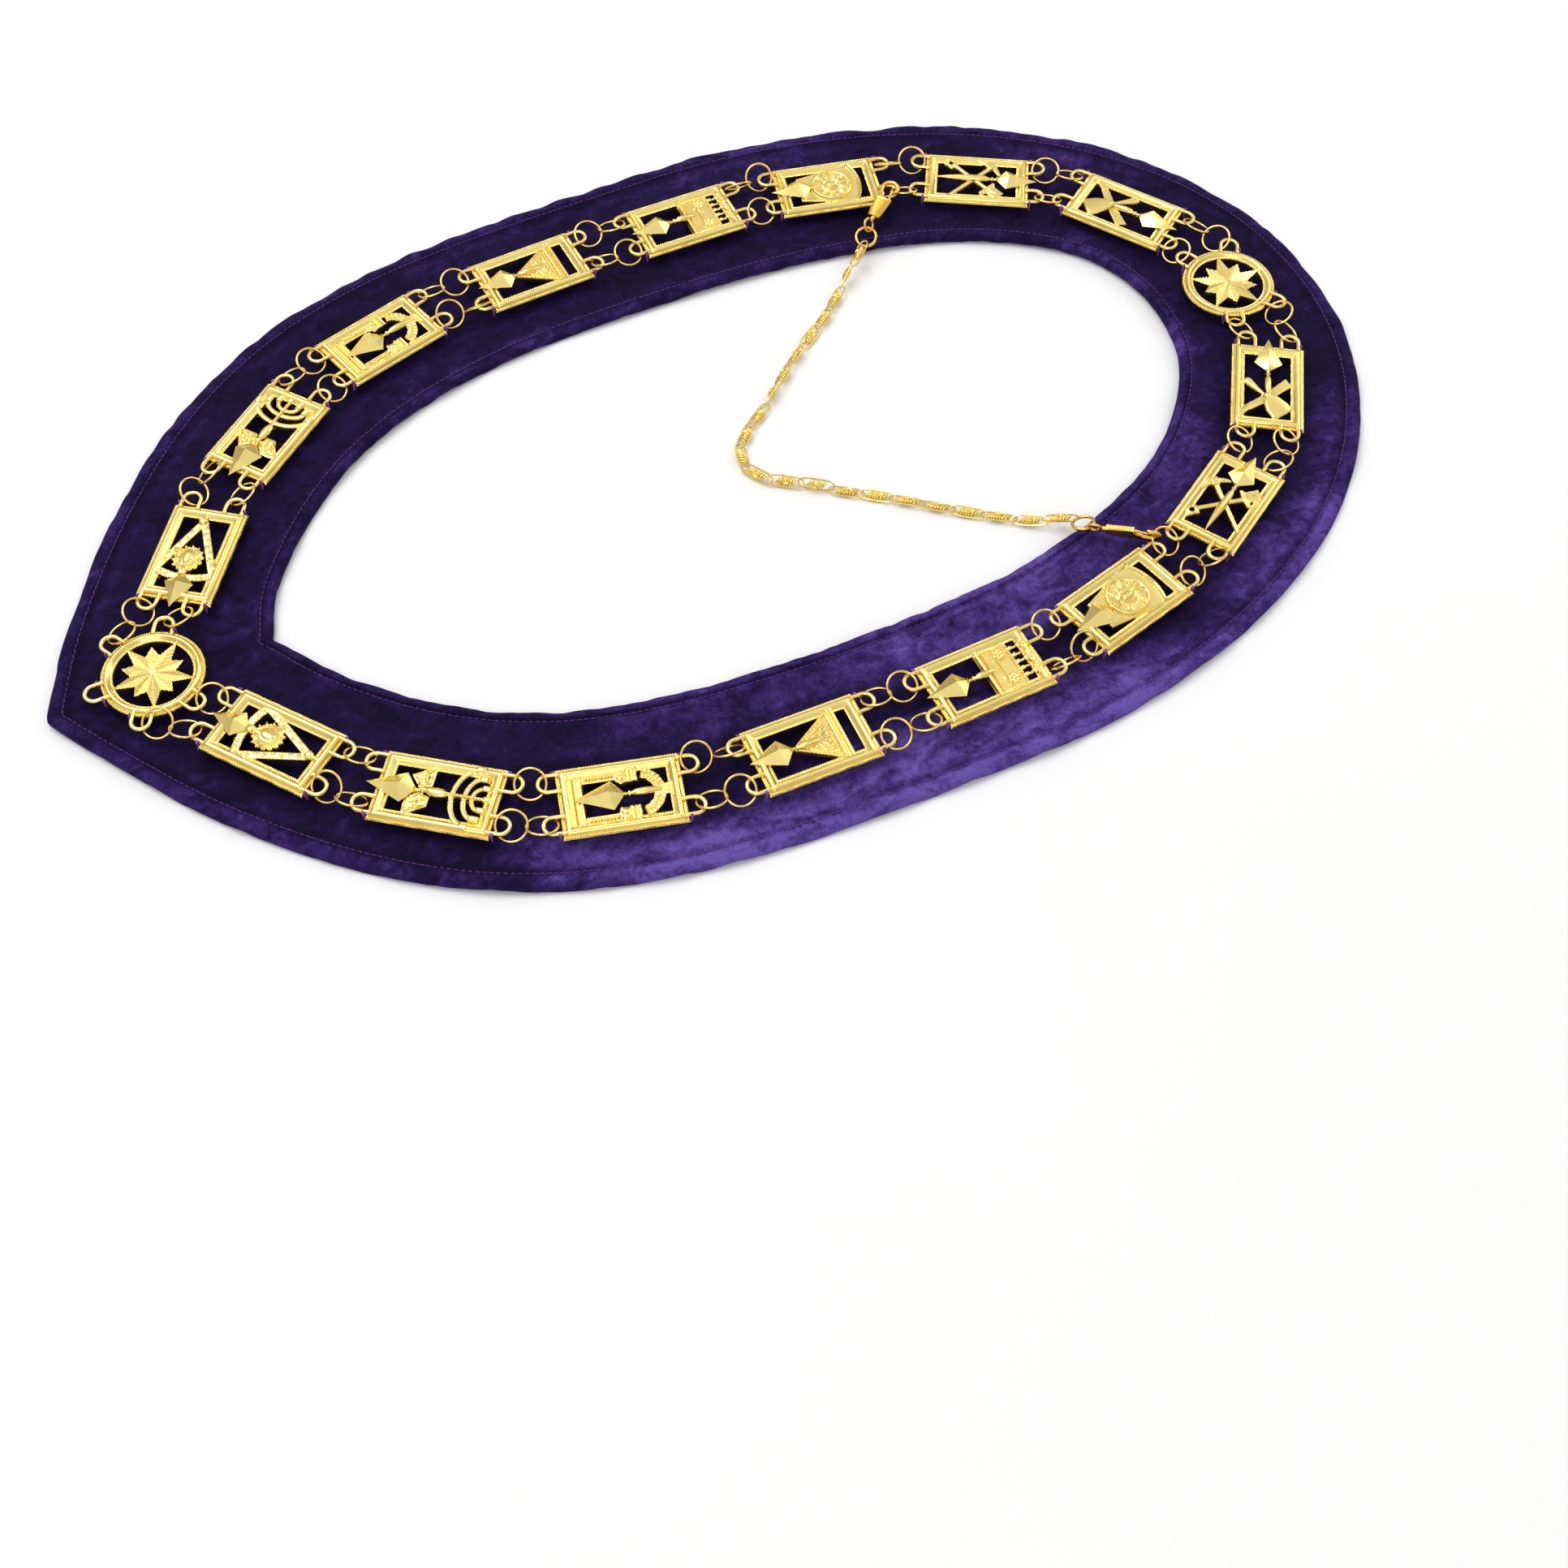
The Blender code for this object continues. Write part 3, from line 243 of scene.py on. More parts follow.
def medallion_edge(degrees):
    """The middle of a medallion's edge in one direction, seen from its own middle."""
    return Vector(on_circle((0, 0), MEDALLION_EDGE, math.radians(degrees)))


def medallion_foot(front, degrees):
    """Where a medallion's loop leaves its edge, and the loop's heading."""
    return medallion_place(front) + medallion_edge(degrees), math.radians(degrees)


def medallion_heading(front, side, outer):
    return 90 - side * FRONT_LOOP_ANGLES[outer] if front else 270 + side * BACK_LOOP_ANGLES[outer]


def medallion_headings(front):
    drop = [90 - DROP_LOOP_ANGLE] if front else []
    return [medallion_heading(front, side, outer) for side in (-1, 1) for outer in (0, 1)] + drop


def casting_loop(index, side, end, outer):
    """The loop on casting 0 to 9: end -1 faces the front, +1 the back; outer is the outer string's."""
    if index in (0, len(CASTING_PLACES) - 1):
        return loop_in_world(*medallion_foot(index == 0, medallion_heading(index == 0, side, outer)))
    place, turn = plate_place(index, side)
    foot = in_world(place, turn, (end * PLATE_LENGTH / 2, LOOP_SPREAD * (-side if outer else side)))
    return loop_in_world(foot, turn if end > 0 else turn + math.pi)


def ring_chord(tilt):
    """How far a ring's middle lies beyond the loops' level, and half its chord at that level."""
    middle = max(LOOP_LEVEL, SEAT_HEIGHT + RING_WIRE / 2 + RING_RADIUS * math.sin(tilt))
    offset = (middle - LOOP_LEVEL) / math.sin(tilt)
    return offset, math.sqrt(max(RING_RADIUS ** 2 - offset ** 2, 0))


def ring_facts(foot, along, lean, tilt, corner):
    """A ring that crosses the loops' level at foot: its centre, its two directions and its first angle."""
    offset, half = ring_chord(tilt)
    side = Vector((-along.y, along.x)) * lean
    rise = Vector((side.x * math.cos(tilt), side.y * math.cos(tilt), math.sin(tilt)))
    middle = foot + along * half
    centre = Vector((middle.x, middle.y, LOOP_LEVEL)) + rise * offset
    return centre, Vector((along.x, along.y, 0)), rise, math.atan2(-offset, corner * half)


def ring_corners(facts):
    centre, forward, rise, first = facts
    angles = [first + 2 * math.pi * i / RING_CORNERS for i in range(RING_CORNERS)]
    return [centre + RING_RADIUS * (forward * math.cos(a) + rise * math.sin(a)) for a in angles]


def nearest(path, other):
    """The least distance between two paths."""
    def fine(points):
        points = np.array([tuple(point) for point in points])
        steps = np.linspace(0, 1, 9)[:, None, None]
        return (points[:-1] * (1 - steps) + points[1:] * steps).reshape(-1, 3)
    first, second = fine(path), fine(other)
    return float(np.sqrt(((first[:, None] - second[None]) ** 2).sum(-1).min()))


def string_rings(gap, side, outer, rings, linked, lean, tilt):
    """Each ring between two loops, at the first tilt in degrees at which it hangs clear of them."""
    path_a, centre_a = casting_loop(gap, side, 1, outer)
    path_b, centre_b = casting_loop(gap + 1, side, -1, outer)
    span = centre_b - centre_a
    along = span.normalized()
    lean = lean * side
    overlap = (RING_WIRE - RING_BITE) * (1 if linked else -1)
    needed = (RING_WIRE + LOOP_WIRE) / 2 + RING_CLEARANCE
    nearest_edge = -LOOP_LEG + RING_WIRE / 2 + RING_CLEARANCE
    lines = [[(point.x, point.y, LOOP_LEVEL) for point in path] for path in (path_a, path_b)]
    found = []
    for degrees in range(tilt, STEEPEST_TILT):
        angle = math.radians(degrees)
        half = ring_chord(angle)[1]
        reach = 2 * half if rings == 1 else 4 * half - overlap
        forward = (span.length - reach) / 2
        start = centre_a + along * forward
        if rings == 1:
            found = [ring_facts(start, along, lean, angle, -1)]
        else:
            second = start + along * (2 * half - overlap)
            found = [ring_facts(start, along, lean, angle, 1), ring_facts(second, along, -lean, angle, -1)]
        shapes = [ring_corners(facts) for facts in found]
        clear = min(nearest(points + points[:1], line) for points in shapes for line in lines)
        if nearest_edge <= forward <= LOOP_RADIUS - needed and clear >= needed:
            return found
    return found


def clasp_frame(facts):
    place, turn = plate_place(CLASP_PLATE_INDEX, facts["side"])
    across = facts["side"] * (LOOP_SPREAD + facts["inward"])
    eye = in_world(place, turn, (PLATE_LENGTH / 2 + facts["beyond"], across))
    pitch = Matrix.Rotation(-math.radians(facts["pitch"]), 4, "Y")
    return stood(eye, facts["height"], turn + math.radians(facts["heading"])) @ pitch


def rolled(angle):
    return Matrix.Rotation(math.radians(angle), 4, "X")


def jump_ring(facts):
    """Centre, sideways and downward direction of a clasp's jump ring."""
    turn = clasp_frame(facts) @ rolled(facts["eye_roll"])
    hang = EYE_RADIUS - (EYE_WIRE + JUMP_WIRE) / 2 + JUMP_BITE
    start = turn @ Vector((-hang, 0, 0))
    diameter = JUMP_DIAMETER - JUMP_WIRE
    slope = math.asin((start.z - (SEAT_HEIGHT + JUMP_WIRE / 2)) / diameter)
    heading = plate_place(CLASP_PLATE_INDEX, facts["side"])[1] + math.radians(facts["ring_heading"])
    level = Vector((math.cos(heading), math.sin(heading), 0))
    down = level * math.cos(slope) - Vector((0, 0, math.sin(slope)))
    return start + down * diameter / 2, Vector((-level.y, level.x, 0)), down


def chain_line():
    """The safety chain's fine middle line from one jump ring to the other."""
    middle = [(x * LINE_LENGTH, y * LINE_LENGTH, lift * SEAT_HEIGHT) for x, y, lift in CHAIN_ROUTE]
    ends = []
    for facts, first in ((FAR, middle[0]), (NEAR, middle[-1])):
        centre, side, down = jump_ring(facts)
        axis = side.cross(down)
        ahead = Vector(first) - centre
        ahead = (ahead - axis * ahead.dot(axis)).normalized()
        end = centre + ahead * (JUMP_DIAMETER / 2 - JUMP_WIRE * 1.5)
        ends.append((end.x, end.y, end.z - 0.8 * MM))
    knots = np.array([ends[0]] + middle + [ends[1]])
    padded = np.concatenate([[2 * knots[0] - knots[1]], knots, [2 * knots[-1] - knots[-2]]])
    fine = []
    for i in range(1, len(padded) - 2):
        a, b, c, d = padded[i - 1:i + 3]
        for t in np.linspace(0, 1, 20, endpoint=False):
            fine.append(b + 0.5 * t * (c - a + t * (2 * a - 5 * b + 4 * c - d + t * (3 * (b - c) + d - a))))
    fine.append(knots[-1])
    return np.array(fine)


# Materials

def new_material(name, colour, roughness, metallic=0.0):
    made = bpy.data.materials.new(name)
    made.use_nodes = True
    shader = made.node_tree.nodes["Principled BSDF"]
    shader.inputs["Base Color"].default_value = (*colour, 1.0)
    shader.inputs["Roughness"].default_value = roughness
    shader.inputs["Metallic"].default_value = metallic
    return made, made.node_tree, shader


def add_node(tree, kind, **values):
    made = tree.nodes.new("ShaderNode" + kind)
    for key, value in values.items():
        if key in made.inputs:
            made.inputs[key].default_value = value
        else:
            setattr(made, key, value)
    return made


def noise(tree, scale, detail=3.0, distortion=0.0, stretch=(1, 1, 1)):
    fit = add_node(tree, "Mapping", Scale=stretch)
    made = add_node(tree, "TexNoise", Scale=scale, Detail=detail, Distortion=distortion)
    tree.links.new(add_node(tree, "TexCoord").outputs["Object"], fit.inputs["Vector"])
    tree.links.new(fit.outputs["Vector"], made.inputs["Vector"])
    return made.outputs["Fac"]


def point_value(tree, key):
    """What a mesh holds under this name for each point."""
    return add_node(tree, "Attribute", attribute_name=key).outputs["Fac"]


def ramp(tree, factor, stops):
    made = add_node(tree, "ValToRGB")
    elements = made.color_ramp.elements
    while len(elements) < len(stops):
        elements.new(0.5)
    for element, (place, colour) in zip(elements, stops):
        element.position = place
        element.color = (*colour, 1.0)
    tree.links.new(factor, made.inputs["Fac"])
    return made.outputs["Color"]


def feed(tree, socket, value):
    """Give a socket a number, a colour or another node's output."""
    if isinstance(value, bpy.types.NodeSocket):
        tree.links.new(value, socket)
    else:
        socket.default_value = (*value, 1.0) if isinstance(value, tuple) else value


def mixed(tree, factor, first, second, blend="MIX"):
    made = add_node(tree, "Mix", data_type="RGBA", blend_type=blend)
    for index, value in ((0, factor), (6, first), (7, second)):
        feed(tree, made.inputs[index], value)
    return made.outputs[2]


def weighted(tree, factor, weight, base):
    """factor * weight + base."""
    made = add_node(tree, "Math", operation="MULTIPLY_ADD")
    for socket, value in zip(made.inputs, (factor, weight, base)):
        feed(tree, socket, value)
    return made.outputs[0]


def bump(tree, shader, height, strength, distance):
    made = add_node(tree, "Bump", Strength=strength, Distance=distance)
    tree.links.new(height, made.inputs["Height"])
    tree.links.new(made.outputs["Normal"], shader.inputs["Normal"])


def gold_material(name, bright, patina_shade_colour, roughness):
    """Plated metal: bright on the raised parts, darker and deeper in the hollows, partly patina and wear and
    partly painted shade, with a fine cast skin.
    """
    made, tree, shader = new_material(name, bright, roughness, 1.0)
    cloudy = ramp(tree, noise(tree, 90.0, 4.0), [(0.3, (0.90, 0.89, 0.86)), (0.7, (1, 1, 1))])
    # The hollows take the deeper colour: partly patina, partly painted shade.
    shade = mixed(tree, point_value(tree, "hollow"), bright, patina_shade_colour)
    tree.links.new(mixed(tree, 1.0, shade, cloudy, "MULTIPLY"), shader.inputs["Base Color"])
    least, most = (roughness - 0.06,) * 3, (roughness + 0.10,) * 3
    worn = ramp(tree, noise(tree, 260.0, 3.0), [(0.3, least), (0.7, most)])
    tree.links.new(worn, shader.inputs["Roughness"])
    bump(tree, shader, noise(tree, 1400.0, 2.0), 0.12, 0.1 * MM)
    return made


PILE_NOISE = (
    # scale, detail, distortion, stretch, weight
    (30.0, 4.0, 0.8, (1, 1, 1), 0.60),
    (120.0, 5.0, 1.4, (1.0, 0.6, 1.0), 1.05),
    (420.0, 3.0, 0.5, (1, 1, 1), 0.60),
    (1300.0, 2.0, 0.0, (1, 1, 1), 0.40),
)
STREAK_WEIGHT = 0.26
STREAK_SCALE = (1500.0, 260.0, 1.0)     # along the ring and across it
PILE_CONTRAST = (0.42, 0.62)            # how the blotches' strength grows with the painted pile light
PILE_SHADER = {"Sheen Weight": 0.17, "Sheen Roughness": 0.35, "Sheen Tint": (0.36, 0.14, 0.95, 1.0),
               "Specular IOR Level": 0.10}
PILE_SHADES = [
    (0.05, (0.0046, 0.0017, 0.0165)), (0.30, (0.0120, 0.0050, 0.044)), (0.52, (0.033, 0.015, 0.108)),
    (0.76, (0.076, 0.041, 0.222)), (1.0, (0.125, 0.079, 0.34)),
]


def velvet_material():
    """Crushed pile: blotches where it is pressed, streaks across the roll and a fine fibre grain, over
    painted sheen and painted shade.
    """
    made, tree, shader = new_material("violet_velvet", (0.03, 0.015, 0.11), 0.85)
    # Painted pile light: painted sheen where the pile is brushed toward the light and on the rolls, painted
    # shade in the seams.
    nap = point_value(tree, "nap")
    mottle = -(sum(row[-1] for row in PILE_NOISE) + STREAK_WEIGHT) / 2
    for *settings, weight in PILE_NOISE:
        mottle = weighted(tree, noise(tree, *settings), weight, mottle)
    woven = add_node(tree, "CombineXYZ")
    for axis, key in enumerate(("along", "across")):
        tree.links.new(point_value(tree, key), woven.inputs[axis])
    rows = add_node(tree, "Mapping", Scale=STREAK_SCALE)
    tree.links.new(woven.outputs[0], rows.inputs["Vector"])
    streaks = add_node(tree, "TexNoise", Scale=1.0, Detail=2.0)
    tree.links.new(rows.outputs["Vector"], streaks.inputs["Vector"])
    mottle = weighted(tree, streaks.outputs["Fac"], STREAK_WEIGHT, mottle)
    value = weighted(tree, mottle, weighted(tree, nap, *PILE_CONTRAST), nap)
    tree.links.new(ramp(tree, value, PILE_SHADES), shader.inputs["Base Color"])
    for key, setting in PILE_SHADER.items():
        shader.inputs[key].default_value = setting
    bump(tree, shader, value, 0.5, 0.5 * MM)
    return made


def thread_material(name, dark, light):
    """Twisted sewing thread: paler on its strands."""
    made, tree, shader = new_material(name, light, 0.6)
    strands = ramp(tree, noise(tree, 900.0, 2.0), [(0.3, dark), (0.7, light)])
    tree.links.new(strands, shader.inputs["Base Color"])
    bump(tree, shader, noise(tree, 1500.0, 1.0), 0.4, 0.1 * MM)
    shader.inputs["Sheen Weight"].default_value = 0.05
    return made


def floor_material():
    made, tree, shader = new_material("pale_paper", (0.86, 0.86, 0.86), 0.8)
    soft = ramp(tree, noise(tree, 3.0, 2.0), [(0.3, (0.85, 0.85, 0.85)), (0.7, (0.87, 0.87, 0.87))])
    tree.links.new(soft, shader.inputs["Base Color"])
    return made


# Name, bright colour, hollow colour of patina and painted shade, and roughness
GOLD = gold_material("gold_plate", (1.0, 0.80, 0.28), (0.74, 0.42, 0.07), 0.23)
RING_GOLD = gold_material("ring_gold", (1.0, 0.71, 0.21), (0.62, 0.33, 0.05), 0.17)
CHAIN_GOLD = gold_material("chain_gold", (1.0, 0.76, 0.22), (0.85, 0.50, 0.08), 0.26)
CLASP_GOLD = gold_material("clasp_gold", (0.94, 0.57, 0.12), (0.52, 0.24, 0.03), 0.19)
VELVET = velvet_material()
SEAM_THREAD = thread_material("seam_thread", (0.045, 0.008, 0.12), (0.13, 0.024, 0.27))
TIE_THREAD = thread_material("tie_thread", (0.16, 0.035, 0.24), (0.42, 0.13, 0.50))


# Small meshes

def smooth(mesh, angle):
    """Smooth shading except at edges sharper than an angle in degrees."""
    mesh.shade_smooth()
    mesh.set_sharp_from_angle(angle=math.radians(angle))
    return mesh


def in_scene(name, data):
    """A new object in the scene."""
    item = bpy.data.objects.new(name, data)
    bpy.context.scene.collection.objects.link(item)
    return item


def as_shown(item):
    """A new mesh of an object with its modifiers applied."""
    return bpy.data.meshes.new_from_object(item.evaluated_get(bpy.context.evaluated_depsgraph_get()))


def loft(rings, closed):
    """Points and faces of a skin through rings of equally many points, closed on itself or capped."""
    count, size = len(rings), len(rings[0])
    points = [tuple(point) for ring in rings for point in ring]
    faces = []
    for i in range(count if closed else count - 1):
        here, there = i * size, (i + 1) % count * size
        for j in range(size):
            k = (j + 1) % size
            faces.append((here + j, here + k, there + k, there + j))
    if not closed:
        faces.append(tuple(range(size)))
        faces.append(tuple(reversed(range((count - 1) * size, count * size))))
    return points, faces


def tube(path, radius, sides=8, closed=False, up=(0, 0, 1)):
    """A wire along a path; radius is one value or one for each point."""
    path = [Vector(point) for point in path]
    radii = [float(value) for value in radius] if hasattr(radius, "__len__") else [radius] * len(path)
    rings = []
    last = Vector(up).normalized()
    for i, point in enumerate(path):
        before = path[i - 1] if closed or i > 0 else point
        after = path[(i + 1) % len(path)] if closed or i < len(path) - 1 else point
        along = (after - before).normalized()
        last = (last - along * last.dot(along)).normalized()
        side = along.cross(last)
        turns = [2 * math.pi * j / sides for j in range(sides)]
        rings.append([point + radii[i] * (side * math.cos(a) + last * math.sin(a)) for a in turns])
    return loft(rings, closed)


def joined(name, parts):
    """One mesh from several (points, faces) pairs, its faces turned outward."""
    points, faces = [], []
    for part_points, part_faces in parts:
        start = len(points)
        points += [tuple(point) for point in part_points]
        faces += [tuple(start + i for i in face) for face in part_faces]
    mesh = bpy.data.meshes.new(name)
    mesh.from_pydata(points, [], faces)
    mesh.validate()
    form = bmesh.new()
    form.from_mesh(mesh)
    bmesh.ops.recalc_face_normals(form, faces=form.faces)
    form.to_mesh(mesh)
    form.free()
    return mesh


def moved(part, matrix):
    points, faces = part
    return [matrix @ Vector(point) for point in points], faces


def shown(name, mesh, finish, nodes=(), body=MAIN, matrix=None):
    """A finished piece: its material, its place, its body and the nodes that it stands for."""
    if not mesh.materials:
        mesh.materials.append(finish)
    item = in_scene(name, mesh)
    if matrix is not None:
        item.matrix_world = matrix
    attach(item, body)
    if nodes:
        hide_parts(*nodes)


# Cast relief on a fine grid, in millimetres

PITCH = 0.25
OUTSIDE = 9.0                   # a distance outside every form


def segment_distance(x, y, start, end, first, last=None):
    """Distance outside a bar with round ends, and its half width there, which goes from first to last."""
    dx, dy = end[0] - start[0], end[1] - start[1]
    share = np.clip(((x - start[0]) * dx + (y - start[1]) * dy) / (dx * dx + dy * dy), 0, 1)
    gap = np.hypot(x - start[0] - share * dx, y - start[1] - share * dy)
    last = first if last is None else last
    return gap - (first + (last - first) * share), first + (last - first) * share


def box_distance(x, y, centre, half_x, half_y, turn=0.0):
    """Distance outside a rectangle that is turned by an angle in degrees; minus is inside."""
    cosine, sine = math.cos(math.radians(turn)), math.sin(math.radians(turn))
    u = (x - centre[0]) * cosine + (y - centre[1]) * sine
    v = -(x - centre[0]) * sine + (y - centre[1]) * cosine
    a, b = np.abs(u) - half_x, np.abs(v) - half_y
    return np.hypot(np.maximum(a, 0), np.maximum(b, 0)) + np.minimum(np.maximum(a, b), 0)


def polygon_distance(x, y, points):
    """Distance outside a polygon; minus is inside."""
    points = np.array(points, float)
    best = np.full(x.shape, 1e9)
    sign = np.ones(x.shape)
    for i in range(len(points)):
        a, b = points[i], points[i - 1]
        ex, ey = b - a
        wx, wy = x - a[0], y - a[1]
        share = np.clip((wx * ex + wy * ey) / (ex * ex + ey * ey), 0, 1)
        best = np.minimum(best, (wx - ex * share) ** 2 + (wy - ey * share) ** 2)
        above, below, left = y >= a[1], y < b[1], ex * wy > ey * wx
        flip = (above & below & left) | (~above & ~below & ~left)
        sign = np.where(flip, -sign, sign)
    return sign * np.sqrt(best)


def oval_distance(x, y, centre, radius_x, radius_y):
    u, v = (x - centre[0]) / radius_x, (y - centre[1]) / radius_y
    level = np.hypot(u, v)
    slope = np.hypot(u / radius_x, v / radius_y) / np.maximum(level, 1e-6)
    return (level - 1) / np.maximum(slope, 1e-6)


class Relief:
    """Height over a grid and how far inside the casting each grid point is."""

    def __init__(self, half_x, half_y, pitch=PITCH):
        edge = 3
        self.pitch = pitch
        steps_x, steps_y = round(half_x / pitch) + edge, round(half_y / pitch) + edge
        xs = np.arange(-steps_x, steps_x + 1) * pitch
        ys = np.arange(-steps_y, steps_y + 1) * pitch
        self.x, self.y = np.meshgrid(xs, ys, indexing="ij")
        self.inside = np.full(self.x.shape, -OUTSIDE)
        self.height = np.zeros(self.x.shape)

    def polar(self, centre=(0.0, 0.0)):
        """Distance of each grid point from a centre, and its direction in radians."""
        dx, dy = self.x - centre[0], self.y - centre[1]
        return np.hypot(dx, dy), np.arctan2(dy, dx)

    def put(self, distance, height):
        """A form that ends where distance is nought, with its own height everywhere."""
        near = distance < self.pitch
        self.height = np.where(near, np.maximum(self.height, height), self.height)
        self.inside = np.maximum(self.inside, -distance)

    def raised(self, distance, top, edge=0.3):
        """A flat form with a rounded edge."""
        depth = np.clip(-distance, 0, edge)
        self.put(distance, top - (edge - np.sqrt(edge ** 2 - (edge - depth) ** 2)))

    def on_top(self, distance, amount, edge=0.25):
        """Relief on what is there already, or a groove in it where the amount is below nought."""
        share = np.clip(-distance / edge, 0, 1)
        self.height += amount * share * share * (3 - 2 * share)

    def cut(self, distance):
        """A hole where distance is below nought."""
        self.inside = np.minimum(self.inside, distance)

    def rod(self, start, end, first, top, last=None):
        """A half-round bar, its widths at its two ends."""
        distance, half = segment_distance(self.x, self.y, start, end, first / 2,
                                          None if last is None else last / 2)
        depth = np.clip(-distance, 0, half)
        rounding = np.minimum(half, 1.3)
        near = np.clip(rounding - depth, 0, rounding)
        self.put(distance, top - (rounding - np.sqrt(np.maximum(rounding ** 2 - near ** 2, 0))))

    def block(self, centre, half_x, half_y, top, edge=0.3, turn=0.0):
        self.raised(box_distance(self.x, self.y, centre, half_x, half_y, turn), top, edge)

    def bar(self, start, end, width, top, edge=0.3):
        centre = ((start[0] + end[0]) / 2, (start[1] + end[1]) / 2)
        turn = math.degrees(math.atan2(end[1] - start[1], end[0] - start[0]))
        length = math.dist(start, end)
        self.block(centre, length / 2, width / 2, top, edge, turn)

    def panel(self, points, top, edge=0.3):
        distance = polygon_distance(self.x, self.y, points)
        self.raised(distance, top, edge)
        return distance

    def disc(self, centre, radius, top, edge=0.3):
        self.raised(self.polar(centre)[0] - radius, top, edge)

    def band(self, centre, radius, width, top, low=-1.0, high=361.0, edge=0.3):
        """Part of a flat ring between two angles in degrees."""
        away, angle = self.polar(centre)
        angle = np.degrees(angle) % 360
        distance = np.abs(away - radius) - width / 2
        if low >= 0:
            distance = np.where((angle >= low % 360) & (angle <= high % 360), distance, OUTSIDE)
        self.raised(distance, top, edge)

    def oval(self, centre, radius_x, radius_y, top, rise=0.0):
        distance = oval_distance(self.x, self.y, centre, radius_x, radius_y)
        least = min(radius_x, radius_y)
        share = np.clip(-distance / least, 0, 1)
        self.put(distance, top + rise * np.sqrt(1 - (1 - share) ** 2))

    def bead(self, centre, radius, top, slant=0.0, stretch=1.0):
        """A small round or slanted oval grain."""
        reach = radius * max(stretch, 1.0) + self.pitch
        corner = (self.x[0, 0], self.y[0, 0])
        i0, j0 = [int((c - reach - low) / self.pitch) for c, low in zip(centre, corner)]
        i1, j1 = [int((c + reach - low) / self.pitch) + 2 for c, low in zip(centre, corner)]
        view = (slice(max(i0, 0), i1), slice(max(j0, 0), j1))
        u, v = self.x[view] - centre[0], self.y[view] - centre[1]
        cosine, sine = math.cos(slant), math.sin(slant)
        u, v = (u * cosine + v * sine) / stretch, -u * sine + v * cosine
        away = np.hypot(u, v)
        grain = top - radius + np.sqrt(np.maximum(radius ** 2 - away ** 2, 0))
        self.height[view] = np.where(away < radius, np.maximum(self.height[view], grain), self.height[view])

    def beads(self, path, spacing, radius, top, slant=None, stretch=1.0):
        """A row of grains along a path; slant is measured from the row's own direction."""
        path = np.array(path, float)
        length = arc_lengths(path)[-1]
        count = max(round(length / spacing), 1)
        places = at_lengths(path, (np.arange(count) + 0.5) * length / count)
        for i, place in enumerate(places):
            ahead = places[min(i + 1, count - 1)] - places[max(i - 1, 0)]
            turn = 0.0 if slant is None else math.atan2(ahead[1], ahead[0]) + math.radians(slant)
            self.bead(place, radius, top, turn, stretch)

    def leaf(self, start, end, width, amount):
        """A small pointed leaf with a midrib."""
        ax, ay = start
        dx, dy = end[0] - ax, end[1] - ay
        length = math.hypot(dx, dy)
        u = ((self.x - ax) * dx + (self.y - ay) * dy) / length ** 2
        v = ((self.y - ay) * dx - (self.x - ax) * dy) / length
        half = width / 2 * np.sin(np.clip(u, 0, 1) * math.pi) ** 0.8
        depth = np.where((u > 0) & (u < 1), half - np.abs(v), -1.0)
        share = np.clip(depth / max(width / 2, 0.1), 0, 1)
        self.height += amount * np.sqrt(share) - 0.12 * (share > 0.85)


def cast_grid(relief):
    """Each grid point's place, moved to the outline where it is near it, and height, and the filled cells."""
    inside, height = relief.inside, relief.height
    slope_x, slope_y = np.gradient(inside, relief.pitch)
    slope = np.maximum(slope_x ** 2 + slope_y ** 2, 0.2)
    near = np.abs(inside) < 0.62 * relief.pitch
    x = relief.x - np.where(near, inside * slope_x / slope, 0)
    y = relief.y - np.where(near, inside * slope_y / slope, 0)
    kept = near | (inside > 0)
    cells = kept[:-1, :-1] & kept[1:, :-1] & kept[:-1, 1:] & kept[1:, 1:]
    return x, y, height, cells


def blurred(grid, mask, steps):
    """The mean height of the casting round each point."""
    values, weights = grid * mask, mask.astype(float)
    for _ in range(steps):
        for axis in (0, 1):
            values = values + np.roll(values, 1, axis) + np.roll(values, -1, axis)
            weights = weights + np.roll(weights, 1, axis) + np.roll(weights, -1, axis)
    return values / np.maximum(weights, 1e-9)


def tucked(x, y, round_edge):
    """Places on the back of a casting: its border slants in and its middle is raised, so it looks thin."""
    reach = 1 - TUCK / TUCK_REACH
    if round_edge:
        radius = MEDALLION_RADIUS / MM
        away = np.maximum(np.hypot(x, y), 1e-6)
        inset = radius - away
        scale = np.where(inset < TUCK_REACH, (radius - TUCK - inset * reach) / away, 1.0)
        placed = [x * scale, y * scale]
    else:
        placed = []
        for values, half in ((x, HALF_X), (y, HALF_Y)):
            inset = half - np.abs(values)
            slanted = np.sign(values) * (half - TUCK - inset * reach)
            placed.append(np.where(inset < TUCK_REACH, slanted, values))
        inset = np.minimum(HALF_X - np.abs(x), HALF_Y - np.abs(y))
    return placed + [LIFT * np.clip((inset - LIFT_START) / LIFT_RAMP, 0, 1)]


